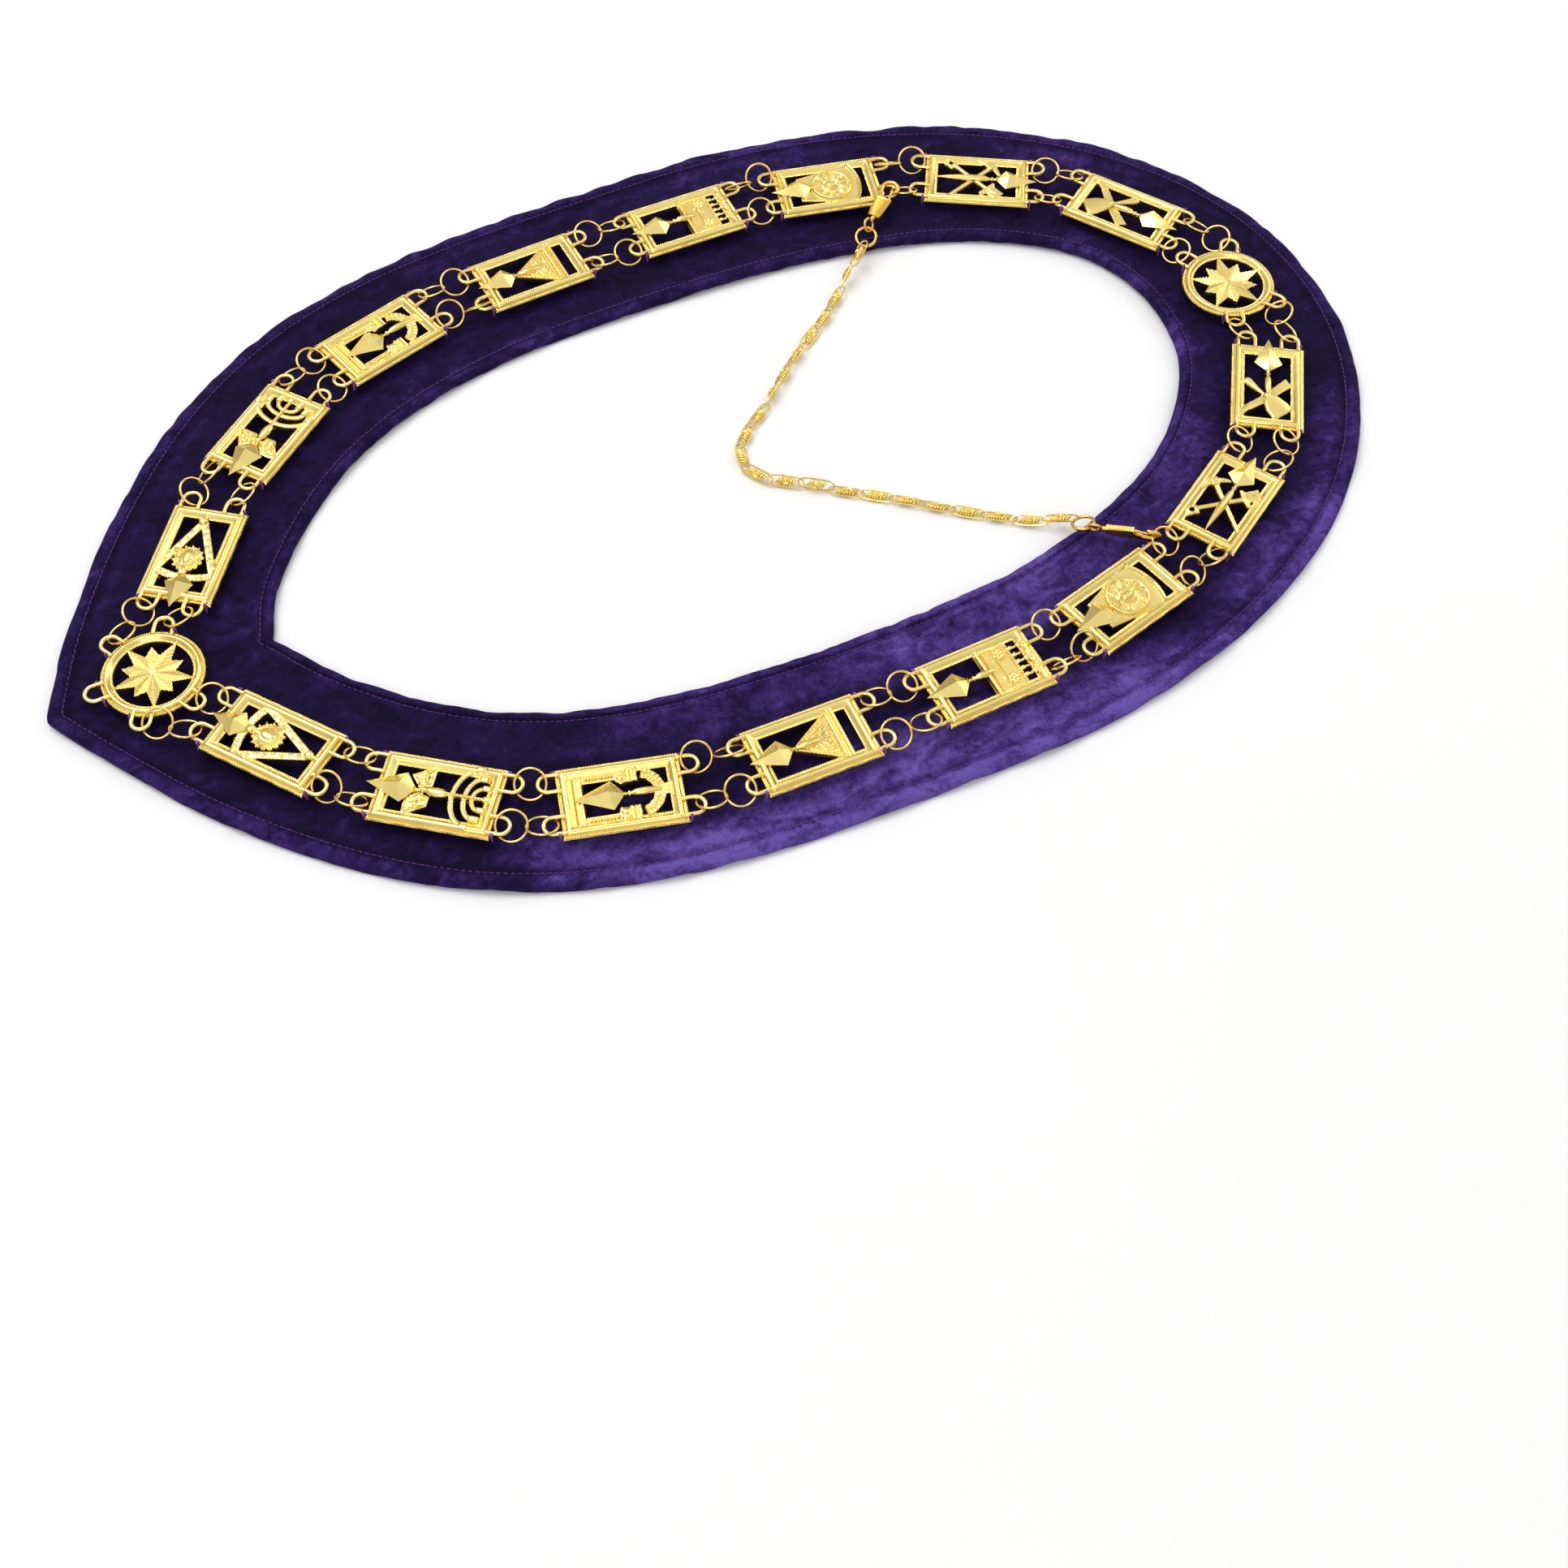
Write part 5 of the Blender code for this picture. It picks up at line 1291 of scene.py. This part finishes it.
def neck_part():
    """The flattened neck between the grip and the hook."""
    grip = GRIP_HOOK_WIDTH / 2
    sections = (
        # along, low side, high side, half thickness
        (GRIP_END - 1.0 * MM, -grip * 0.9, grip * 0.95, CLASP_THICKNESS * 0.42),
        (GRIP_END + 0.1 * MM, -grip * 0.3, grip * 0.9, CLASP_THICKNESS * 0.40),
        (GRIP_END + 1.6 * MM, HOOK_SIDE - HOOK_WIRE * 0.9, HOOK_SIDE + HOOK_WIRE * 0.62,
         CLASP_THICKNESS * 0.34),
        (GRIP_END + 3.4 * MM, HOOK_SIDE - HOOK_WIRE * 0.6, HOOK_SIDE + HOOK_WIRE * 0.5, HOOK_WIRE * 0.48),
    )
    angles = np.linspace(0, 2 * math.pi, 13)[:-1]
    rings = []
    for x, low, high, half in sections:
        middle, reach = (low + high) / 2, (high - low) / 2
        rings.append([(x, middle + reach * math.cos(a), half * math.sin(a)) for a in angles])
    return loft(rings, False)


def lever_part():
    """The sprung lever from its hinge in the grip to the hook's nose."""
    hinge = Vector((LAST_RIB + GATE_WIRE / 2 + PART_GAP, -GRIP_HOOK_WIDTH / 2 + GATE_WIRE, 0))
    aside = -HOOK_RADIUS + HOOK_WIRE / 2 + PART_GAP + GATE_WIRE / 2
    nose = Vector((HOOK_CENTRE - NOSE_LENGTH, aside, 0))
    path = [hinge - Vector((0.25 * MM, 0, 0)), hinge + Vector((0.3 * MM, 0, 0))]
    path += [hinge.lerp(nose - Vector((GATE_WIRE, 0, 0)), share) for share in (0.3, 0.6, 0.9)]
    path += [nose, nose + Vector((NOSE_LENGTH * 0.8, 0, 0))]
    return tube(path, [GATE_WIRE * f for f in (0.30, 0.5, 0.46, 0.42, 0.42, 0.42, 0.30)], 12)


def clasp(word, facts):
    frame_here = clasp_frame(facts)
    body = frame_here @ rolled(facts["roll"])
    flat = Vector((0, 0, 0)), Vector((1, 0, 0)), Vector((0, 1, 0))
    eye = open_ring(*flat, EYE_RADIUS, EYE_WIRE, 180.0, 0.5, 32, 10)
    along = (EYE_RADIUS - EYE_WIRE / 4, EYE_RADIUS + 0.5 * MM, GRIP_START + EYE_WIRE)
    shank = tube([(x, 0, 0) for x in along], [EYE_WIRE * 0.55, EYE_WIRE * 0.8, EYE_WIRE * 0.95], 12)
    parts = [moved(eye, frame_here @ rolled(facts["eye_roll"]))]
    parts += [moved(part, body) for part in (grip_part(), hook_part(), neck_part(), shank)]
    radius = (JUMP_DIAMETER - JUMP_WIRE) / 2
    parts.append(open_ring(*jump_ring(facts), radius, JUMP_WIRE, 70.0, 3.0, 40, 10))
    node = f"clasp_{word}"
    shown(f"snap_{node}", smooth(joined(node, parts), 40.0), CLASP_GOLD, [node])
    lever = smooth(joined(f"lever_{word}", [moved(lever_part(), body)]), 40.0)
    shown(f"snap_lever_{word}", lever, CLASP_GOLD, [f"{node}_gate"], f"{word}_lever")


# Safety chain

LINK_PITCH = 12.4 * MM
LINK_WIDE = 4.3 * MM
LINK_NARROW = 3.4 * MM
LINK_WIRE = 0.72 * MM
LINK_OVERLAP = 1.9 * MM         # how far one link reaches into the next
LAST_LINKS = 5                  # the links by the near clasp, which lie flatter


def link_roll(index, count):
    """How far a link is rolled about the chain's line, in radians, so that the chain looks twisted."""
    odd = index % 2
    if index >= count - LAST_LINKS:
        return math.radians(-12 if odd else 14)
    return math.radians(24 + 30 * math.sin(1.1 * index + 0.6) + (18 if odd else -18))


def link_parts():
    """One link along +X, flat in XY: a rounded wire frame filled for most of its length by a slanted coil."""
    length = LINK_PITCH + LINK_OVERLAP
    outline = []
    for k in range(40):
        a = 2 * math.pi * k / 40
        along, aside = math.cos(a), math.sin(a)
        width = LINK_WIDE - (LINK_WIDE - LINK_NARROW) * abs(along) ** 3
        outline.append((length / 2 * math.copysign(abs(along) ** 0.6, along),
                        width / 2 * math.copysign(abs(aside) ** 0.6, aside), 0))
    parts = [tube(outline, LINK_WIRE / 2, 6, closed=True)]
    for turn, offset in enumerate(np.linspace(-3.2, 3.2, 7)):
        reach = 1.75 - 0.07 * offset ** 2
        crown = 1.15 - 0.05 * offset ** 2
        bow = [((offset + 0.8 * t) * MM, reach * MM * t, (crown - 0.7 * t * t) * MM)
               for t in np.linspace(-1, 1, 8)]
        parts.append(tube(bow, LINK_WIRE * (0.62 if turn % 2 else 0.52), 6))
        parts.append(tube([(x, y, -z) for x, y, z in bow], LINK_WIRE * 0.5, 5))
    swirl = []
    for k in range(30):
        angle = 3.6 * math.pi * k / 29
        reach = (1.5 - 1.2 * k / 29) * MM
        x, y = 0.2 * MM + 1.15 * reach * math.cos(angle), reach * math.sin(angle)
        swirl.append((x, y, 1.1 * MM + 0.012 * k * MM))
    parts.append(tube(swirl, LINK_WIRE * 0.42, 5))
    return parts


def safety_chain():
    line = chain_line()
    length = arc_lengths(line)[-1]
    count = round((length - LINK_OVERLAP) / LINK_PITCH)
    pitch = (length - LINK_OVERLAP) / count
    link = link_parts()
    parts = []
    for i in range(count):
        middle = LINK_OVERLAP / 2 + pitch * (i + 0.5)
        before, here, after = at_lengths(line, [middle - pitch * 0.45, middle, middle + pitch * 0.45])
        along = Vector(after - before).normalized()
        roll = link_roll(i, count)
        side = Vector((-along.y, along.x, 0)).normalized()
        normal = along.cross(side)
        turned = side * math.cos(roll) + normal * math.sin(roll)
        lift = LINK_WIDE / 2 * abs(math.sin(roll)) + LINK_WIRE * 0.8 + 0.2 * MM
        place = Matrix.Translation((before + after) / 4 + here / 2) @ Matrix.Translation((0, 0, lift))
        turn = Matrix((along, turned, along.cross(turned))).transposed().to_4x4()
        parts += [moved(part, place @ turn) for part in link]
    mesh = smooth(joined("links", parts), 60.0)
    shown("scroll_chain", mesh, CHAIN_GOLD, ["safety_chain"])


# Velvet ring

STATIONS = 420
STITCH_OUTER = 6.2 * MM
STITCH_INNER = 5.2 * MM
# The ring's section from the outer hem over the top to the inner hem: distance inward from an edge,
# or from its stitching, and height, in millimetres
HEM = 1.9
OUTER_ROLL = ((0.7, 0.35), (0.15, 1.2), (0.0, 2.2), (0.3, 3.2), (1.2, 4.1), (2.6, 4.6), (4.2, 4.7))
OUTER_SEAM = ((-0.8, 4.3), (0.0, 3.6), (0.8, 4.3))
FIELD_ROWS, FIELD_HEIGHT = 22, 4.62
FIELD_START, FIELD_END = 8.6, 7.6
INNER_SEAM = ((0.8, 4.3), (0.0, 3.6), (-0.8, 4.25))
INNER_ROLL = ((3.3, 4.6), (1.8, 4.4), (0.7, 3.8), (0.1, 3.0), (0.0, 2.1), (0.2, 1.1), (0.7, 0.35))
UNDER_ROWS = 7
# Cloth settings for the padding's puff
CLOTH = dict(quality=5, mass=0.25, tension_stiffness=14, compression_stiffness=14, shear_stiffness=5,
             bending_stiffness=0.6, vertex_group_mass="pinned", pin_stiffness=1.0,
             use_pressure=True, uniform_pressure_force=4.0, shrink_min=-0.035)
CLOTH_FRAMES = 20
UNEVENNESS = 0.12 * MM          # of the cloth before it is puffed
SIDE_GIVE = 0.15                # share of the padding's sideways swelling that is kept
PUFF_LIMIT = 1.6 * MM
TOP_LIMIT = BACKING_THICKNESS + 0.12 * MM
TOP_EASE = 0.5 * MM
# Rows of the section with painted light and shade: each seam's darkest row of painted shade in its groove, a
# little lighter beside it, and each roll's first row of painted sheen
SEAM_ROWS = (10, 35)
SEAM_SHADE = (0.05, -0.02, -0.16, -0.02, 0.08)  # from the edge's side of a seam inward
ROLL_ROWS = (1, 36)
# Painted sheen on the outer and the inner roll
ROLL_SHEEN = (0.17, 0.12)
PILE_LIGHT = 0.16
MITRE_SHADE = 0.16              # less light along the mitre seam at the front
HALF_ROUND = 0.62               # metres from front to back along the ring
EDGE_SOFTNESS = 26              # one part in this many of the way round, over which the edges ease

# How far the cloth's edges lie inside the solid's, in mm (minus is outside), as the ring lies a
# little out of true: share of the way from front to back, then near and far side
CLOTH_EDGES = (
    # share, outer near, outer far, inner near, inner far
    (0.00, 0.0, 0.0, -3.4, -3.4),
    (0.05, 2.6, -2.0, -1.4, 3.8),
    (0.10, 3.4, -1.6, -1.2, 4.6),
    (0.15, 5.2, -1.4, -1.0, 5.4),
    (0.20, 6.2, -1.8, -1.2, 5.6),
    (0.30, 6.8, -2.6, -1.6, 5.0),
    (0.40, 5.0, -2.6, -1.0, 5.6),
    (0.50, 2.8, -2.6, 0.8, 4.8),
    (0.60, 0.8, -2.6, 1.0, 3.6),
    (0.70, -0.8, -2.4, 1.8, 4.6),
    (0.80, -2.4, -2.6, 2.6, 8.6),
    (0.90, -2.2, -2.8, 1.4, 10.0),
    (1.00, -2.8, -2.8, 3.4, 3.4),
)

# Painted sheen where the brushed pile lies toward the light: middle and half lengths in mm, turn in degrees,
# added light
BRUSHED_SHEEN = (
    # across, along, half length, half width, turn, light
    (160.0, 20.0, 118.0, 25.0, 90.0, 0.58),
    (102.0, 64.0, 62.0, 23.0, 94.0, 0.48),
    (140.0, -102.0, 42.0, 16.0, 65.0, 0.42),
    (134.0, 176.0, 42.0, 20.0, 120.0, 0.32),
    (82.0, 150.0, 40.0, 15.0, 118.0, 0.30),
    (38.0, 190.0, 36.0, 14.0, 155.0, 0.15),
    (-26.0, 196.0, 60.0, 11.0, 8.0, 0.10),
    (100.0, -52.0, 54.0, 13.0, 82.0, 0.22),
    (-95.0, 10.0, 120.0, 9.0, 88.0, 0.06),
    (-160.0, 92.0, 54.0, 12.0, 95.0, 0.16),
    (-168.0, -46.0, 54.0, 12.0, 82.0, 0.03),
    (-103.0, 211.0, 46.0, 12.0, 49.0, 0.16),
    (-17.0, -181.0, 24.0, 12.0, 90.0, 0.06),
    (96.0, 223.0, 44.0, 12.0, 140.0, 0.20),
    (57.0, -229.0, 44.0, 10.0, 40.0, 0.04),
)


def edge_stations(edge, count):
    """Points round a whole edge, front point first, up the near side and back down the far side."""
    lengths = np.linspace(0, arc_lengths(edge)[-1], count // 2 + 1)
    half = at_lengths(edge, lengths)
    return np.concatenate([half, half[-2:0:-1] * (-1, 1)])


def eased(values, low, high):
    """0 below low and 1 above high, with a soft change between."""
    share = np.clip((values - low) / (high - low), 0, 1)
    return share * share * (3 - 2 * share)


def cloth_edges(count):
    """The cloth's outer and inner edge as it lies, and how far along its half each station is, 0 to 1."""
    outer, inner = edge_stations(OUTER_EDGE, count), edge_stations(INNER_EDGE, count)
    inward = (inner - outer) / np.linalg.norm(inner - outer, axis=1, keepdims=True)
    index = np.arange(count)
    share = np.minimum(index, count - index) / (count / 2)
    shares, *columns = zip(*CLOTH_EDGES)
    near = index <= count / 2
    window = np.hanning(count // EDGE_SOFTNESS + 2)
    window /= window.sum()
    insets = []
    for near_side, far_side in (columns[:2], columns[2:]):
        inset = np.where(near, np.interp(share, shares, near_side), np.interp(share, shares, far_side)) * MM
        insets.append(np.convolve(np.tile(inset, 3), window, "same")[count:2 * count, None])
    return outer + inward * insets[0], inner - inward * insets[1], share


def brushed_sheen(x, y):
    """Painted sheen where the brushed pile lies toward the light at a place on the ring, less painted shade
    along the front mitre seam.
    """
    light = np.full(len(x), PILE_LIGHT)
    for across, along, half_length, half_width, turn, added in BRUSHED_SHEEN:
        cosine, sine = math.cos(math.radians(turn)), math.sin(math.radians(turn))
        dx, dy = x / MM - across, y / MM - along
        long, wide = (dx * cosine + dy * sine) / half_length, (dy * cosine - dx * sine) / half_width
        light += added * (1 - eased(np.hypot(long, wide), 0.55, 1.35))
    return light - MITRE_SHADE * (y < 0) * (1 - eased(np.abs(x), 0.4 * MM, 2.2 * MM))


def velvet_rows(outer, inner):
    """The rows of points round the ring, hem to hem over the top and back below, and which are pinned."""
    width = np.linalg.norm(inner - outer, axis=1, keepdims=True)
    inward = (inner - outer) / width
    rows, pins = [], []

    def row(edge, distance, height, pin):
        rows.append(np.column_stack([edge + inward * distance, np.full(len(edge), height * MM)]))
        pins.append(pin)

    row(outer, HEM * MM, 0.0, True)
    for step, height in OUTER_ROLL:
        row(outer, step * MM + 1e-7, height, False)
    for step, height in OUTER_SEAM:
        row(outer, STITCH_OUTER + step * MM, height, step == 0)
    for share in np.linspace(0, 1, FIELD_ROWS):
        distance = FIELD_START * MM + share * (width - (FIELD_START + FIELD_END) * MM)
        row(outer, distance, FIELD_HEIGHT, False)
    for step, height in INNER_SEAM:
        row(inner, -STITCH_INNER - step * MM, height, step == 0)
    for step, height in INNER_ROLL:
        row(inner, -step * MM - 1e-7, height, False)
    row(inner, -HEM * MM, 0.0, True)
    for share in np.arange(1, UNDER_ROWS + 1) / (UNDER_ROWS + 1):
        row(inner, -HEM * MM - share * (width - 2 * HEM * MM), 0.0, True)
    return np.stack(rows, axis=1), pins


def puffed(item):
    """Where a cloth simulation with air pressure inside takes the points of the closed ring."""
    cloth = item.modifiers.new("cloth", "CLOTH")
    for key, value in CLOTH.items():
        setattr(cloth.settings, key, value)
    cloth.settings.effector_weights.gravity = 0.0
    cloth.collision_settings.use_collision = False
    cloth.point_cache.frame_end = CLOTH_FRAMES
    for step in range(1, CLOTH_FRAMES + 1):
        bpy.context.scene.frame_set(step)
    shape = item.evaluated_get(bpy.context.evaluated_depsgraph_get()).to_mesh()
    places = np.array([v.co for v in shape.vertices])
    bpy.context.scene.frame_set(1)
    item.modifiers.remove(cloth)
    return places


def velvet_ring():
    outer, inner, travel = cloth_edges(STATIONS)
    grid, pins = velvet_rows(outer, inner)
    stations, around = grid.shape[:2]
    rest = grid.reshape(-1, 3)
    faces = []
    for i in range(stations):
        for j in range(around):
            k, m = (i + 1) % stations, (j + 1) % around
            faces.append((i * around + j, i * around + m, k * around + m, k * around + j))
    loose = np.tile([0.0 if pin else 1.0 for pin in pins], stations)
    places = rest.copy()
    places[:, 2] += loose * random.normal(0, UNEVENNESS, len(rest))
    mesh = bpy.data.meshes.new("velvet")
    mesh.from_pydata(places.tolist(), [], faces)
    item = in_scene("velvet_ring", mesh)
    pinned = item.vertex_groups.new(name="pinned")
    pinned.add([i for i in range(len(rest)) if pins[i % around]], 1.0, "REPLACE")
    places = puffed(item)
    shift = (places - rest) * (SIDE_GIVE, SIDE_GIVE, 1.0)
    far = np.linalg.norm(shift, axis=1, keepdims=True)
    final = rest + shift / np.maximum(far, 1e-9) * PUFF_LIMIT * np.tanh(far / PUFF_LIMIT)
    over = final[:, 2] - (TOP_LIMIT - TOP_EASE)
    eased_top = TOP_LIMIT - TOP_EASE + TOP_EASE * np.tanh(over / TOP_EASE)
    final[:, 2] = np.maximum(np.where(over > 0, eased_top, final[:, 2]), 0.0)
    mesh.vertices.foreach_set("co", final.ravel())
    mesh.update()
    # Painted shade in the seams' grooves and painted sheen on the rolls, added to the painted sheen of the
    # brushed pile
    seam = np.zeros(around)
    for middle, light in zip(SEAM_ROWS, (SEAM_SHADE, SEAM_SHADE[::-1])):
        seam[middle - 2:middle + 3] += light
    for first, light in zip(ROLL_ROWS, ROLL_SHEEN):
        seam[first:first + len(OUTER_ROLL)] += light
    values = {"nap": brushed_sheen(final[:, 0], final[:, 1]) + np.tile(seam, stations),
              "along": np.repeat(travel * HALF_ROUND, around),
              "across": np.tile(np.linspace(0.0, 0.2, around), stations)}
    for key, value in values.items():
        mesh.attributes.new(key, "FLOAT", "POINT").data.foreach_set("value", value.astype(np.float32))
    finer = item.modifiers.new("finer", "SUBSURF")
    finer.levels = finer.render_levels = 1
    finer_mesh = as_shown(item)
    item.modifiers.remove(finer)
    item.data = finer_mesh
    finer_mesh.shade_smooth()
    finer_mesh.materials.clear()
    finer_mesh.materials.append(VELVET)
    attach(item, MAIN)
    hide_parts("backing")


STITCH_SPACING = 2.5 * MM
STITCH_STATIONS = 1200
# A stitch from end to end: place as a share of its half length, height and radius in millimetres
STITCH = ((-1.0, 3.5, 0.14), (-0.6, 3.9, 0.21), (0.6, 3.9, 0.21), (1.0, 3.5, 0.14))


def stitch_row(name, outer, inset):
    """A row of short thread dashes on the velvet, a set distance inside one of its edges."""
    own, facing = cloth_edges(STITCH_STATIONS)[:2] if outer else cloth_edges(STITCH_STATIONS)[1::-1]
    line = own + (facing - own) / np.linalg.norm(facing - own, axis=1, keepdims=True) * inset
    line = np.concatenate([line, line[:1]])
    length = arc_lengths(line)[-1]
    count = round(length / STITCH_SPACING)
    shares, heights, radii = np.array(STITCH).T
    parts = []
    for k in range(count):
        middle = (k + 0.5) * length / count + random.uniform(-0.1, 0.1) * MM
        ends = at_lengths(line, middle + shares * 0.41 * length / count)
        skew = random.uniform(-0.15, 0.15) * MM
        skews = skew * (np.arange(len(ends)) - 1.5)
        path = [(x + aside, y + aside, z * MM) for (x, y), aside, z in zip(ends, skews, heights)]
        parts.append(tube(path, radii * MM, 5))
    shown(name, smooth(joined(name, parts), 60.0), SEAM_THREAD)


# Thread ties on the loops

TIE_WIRE = 0.21 * MM
TIE_PLACES = (0.2, 0.6, 1.0)    # millimetres out from the casting
TIE_BOTTOM, TIE_TOP = 4.4 * MM - SEAT_HEIGHT, LOOP_HEIGHT + LOOP_WIRE / 2 + 0.18 * MM


def tie_parts(foot, heading, across):
    """Windings of thread round a loop's leg and down into the velvet."""
    parts = []
    for along in TIE_PLACES:
        lean = random.uniform(-0.3, 0.3) * MM
        path = []
        for j in range(14):
            a = 2 * math.pi * j / 14
            tall = math.sin(a)
            x = (along + (0.6 - along) * (1 - tall) * 0.45) * MM + lean * tall
            y = across + math.cos(a) * (LOOP_WIRE / 2 + 0.25 * MM) * (0.5 + 0.5 * tall)
            rise = math.copysign(abs(tall) ** 0.7, tall)
            path.append((x, y, (TIE_TOP + TIE_BOTTOM) / 2 + (TIE_TOP - TIE_BOTTOM) / 2 * rise))
        parts.append(tube(path, TIE_WIRE, 5, closed=True, up=(1, 0, 0)))
    return [moved(part, stood(foot, SEAT_HEIGHT, heading)) for part in parts]


def tied_legs(degrees):
    """Which legs of a medallion's loop are tied: one, or both of the one that points off the chain."""
    relative = (degrees - 90 + 180) % 360 - 180
    if abs(abs(relative) - 180) < 1:
        return -1, 1
    leg = 1 if relative > 0 else -1
    return (-leg if abs(relative) < 90 else leg,)


def thread_ties():
    groups = {}
    for side, word in SIDES:
        groups[word] = parts = []
        for index in range(1, 9):
            place, turn = plate_place(index, side)
            for end in (-1, 1):
                for across in (-LOOP_SPREAD, LOOP_SPREAD):
                    foot = in_world(place, turn, (end * PLATE_LENGTH / 2, across))
                    heading = turn if end > 0 else turn + math.pi
                    parts += tie_parts(foot, heading, math.copysign(LOOP_RADIUS, across) * end)
    groups["medallions"] = parts = []
    for front in (True, False):
        for degrees in medallion_headings(front):
            for leg in tied_legs(degrees):
                parts += tie_parts(*medallion_foot(front, degrees), leg * LOOP_RADIUS)
    for word, parts in groups.items():
        mesh = smooth(joined(f"ties_{word}", parts), 60.0)
        shown(f"thread_ties_{word}", mesh, TIE_THREAD)


# Studio

FLOOR_REACH, FLOOR_DEPTH = 6, 0.0002
SKY = [(0.0, (0.34, 0.32, 0.30)), (0.35, (0.66, 0.65, 0.64)), (0.8, (1.0, 1.0, 1.0))]
SKY_STRENGTH = 0.85
LIGHTS = (
    # name, place, size, power
    ("key", (-0.9, -0.5, 1.9), 1.4, 20.0),
    ("fill", (1.5, -0.9, 1.2), 1.2, 5.0),
    ("rim", (-0.3, 1.7, 0.9), 1.0, 6.0),
)
LENS = 48.4                     # millimetres, on a 36 mm sensor
CAMERA_PLACE, CAMERA_AIM = Vector((0.5047, -0.2222, 0.6382)), Vector((0.1443, -0.0425, 0.0095))
CAMERA_ROLL = 0.66              # degrees


def studio():
    plane = bpy.data.meshes.new("floor")
    corners = [(x * FLOOR_REACH, y * FLOOR_REACH, -FLOOR_DEPTH)
               for x, y in ((-1, -1), (1, -1), (1, 1), (-1, 1))]
    plane.from_pydata(corners, [], [(0, 1, 2, 3)])
    plane.materials.append(floor_material())
    in_scene("floor", plane)
    world = bpy.data.worlds.new("studio")
    bpy.context.scene.world = world
    world.use_nodes = True
    tree = world.node_tree
    background = tree.nodes["Background"]
    axes = add_node(tree, "SeparateXYZ")
    tree.links.new(add_node(tree, "TexCoord").outputs["Generated"], axes.inputs[0])
    tree.links.new(ramp(tree, axes.outputs["Z"], SKY), background.inputs["Color"])
    background.inputs["Strength"].default_value = SKY_STRENGTH
    for name, place, size, power in LIGHTS:
        light = bpy.data.lights.new(name, "AREA")
        light.size = size
        light.energy = power
        item = in_scene(name, light)
        item.location = place
        item.rotation_mode = "QUATERNION"
        item.rotation_quaternion = (-Vector(place)).to_track_quat("-Z", "Y")
    bpy.context.scene.view_settings.view_transform = "Standard"


def camera():
    data = bpy.data.cameras.new("camera")
    data.sensor_width = 36.0
    data.lens = LENS
    data.clip_start = 0.01
    item = in_scene("camera", data)
    turn = (CAMERA_AIM - CAMERA_PLACE).to_track_quat("-Z", "Y").to_matrix().to_4x4()
    roll = Matrix.Rotation(math.radians(CAMERA_ROLL), 4, "Z")
    item.matrix_world = Matrix.Translation(CAMERA_PLACE) @ turn @ roll
    bpy.context.scene.camera = item


camera()
studio()
velvet_ring()
castings()
jump_rings()
for word, facts in (("near", NEAR), ("far", FAR)):
    clasp(word, facts)
safety_chain()
stitch_row("outer_stitching", True, STITCH_OUTER)
stitch_row("inner_stitching", False, STITCH_INNER)
thread_ties()

bpy.context.view_layer.update()
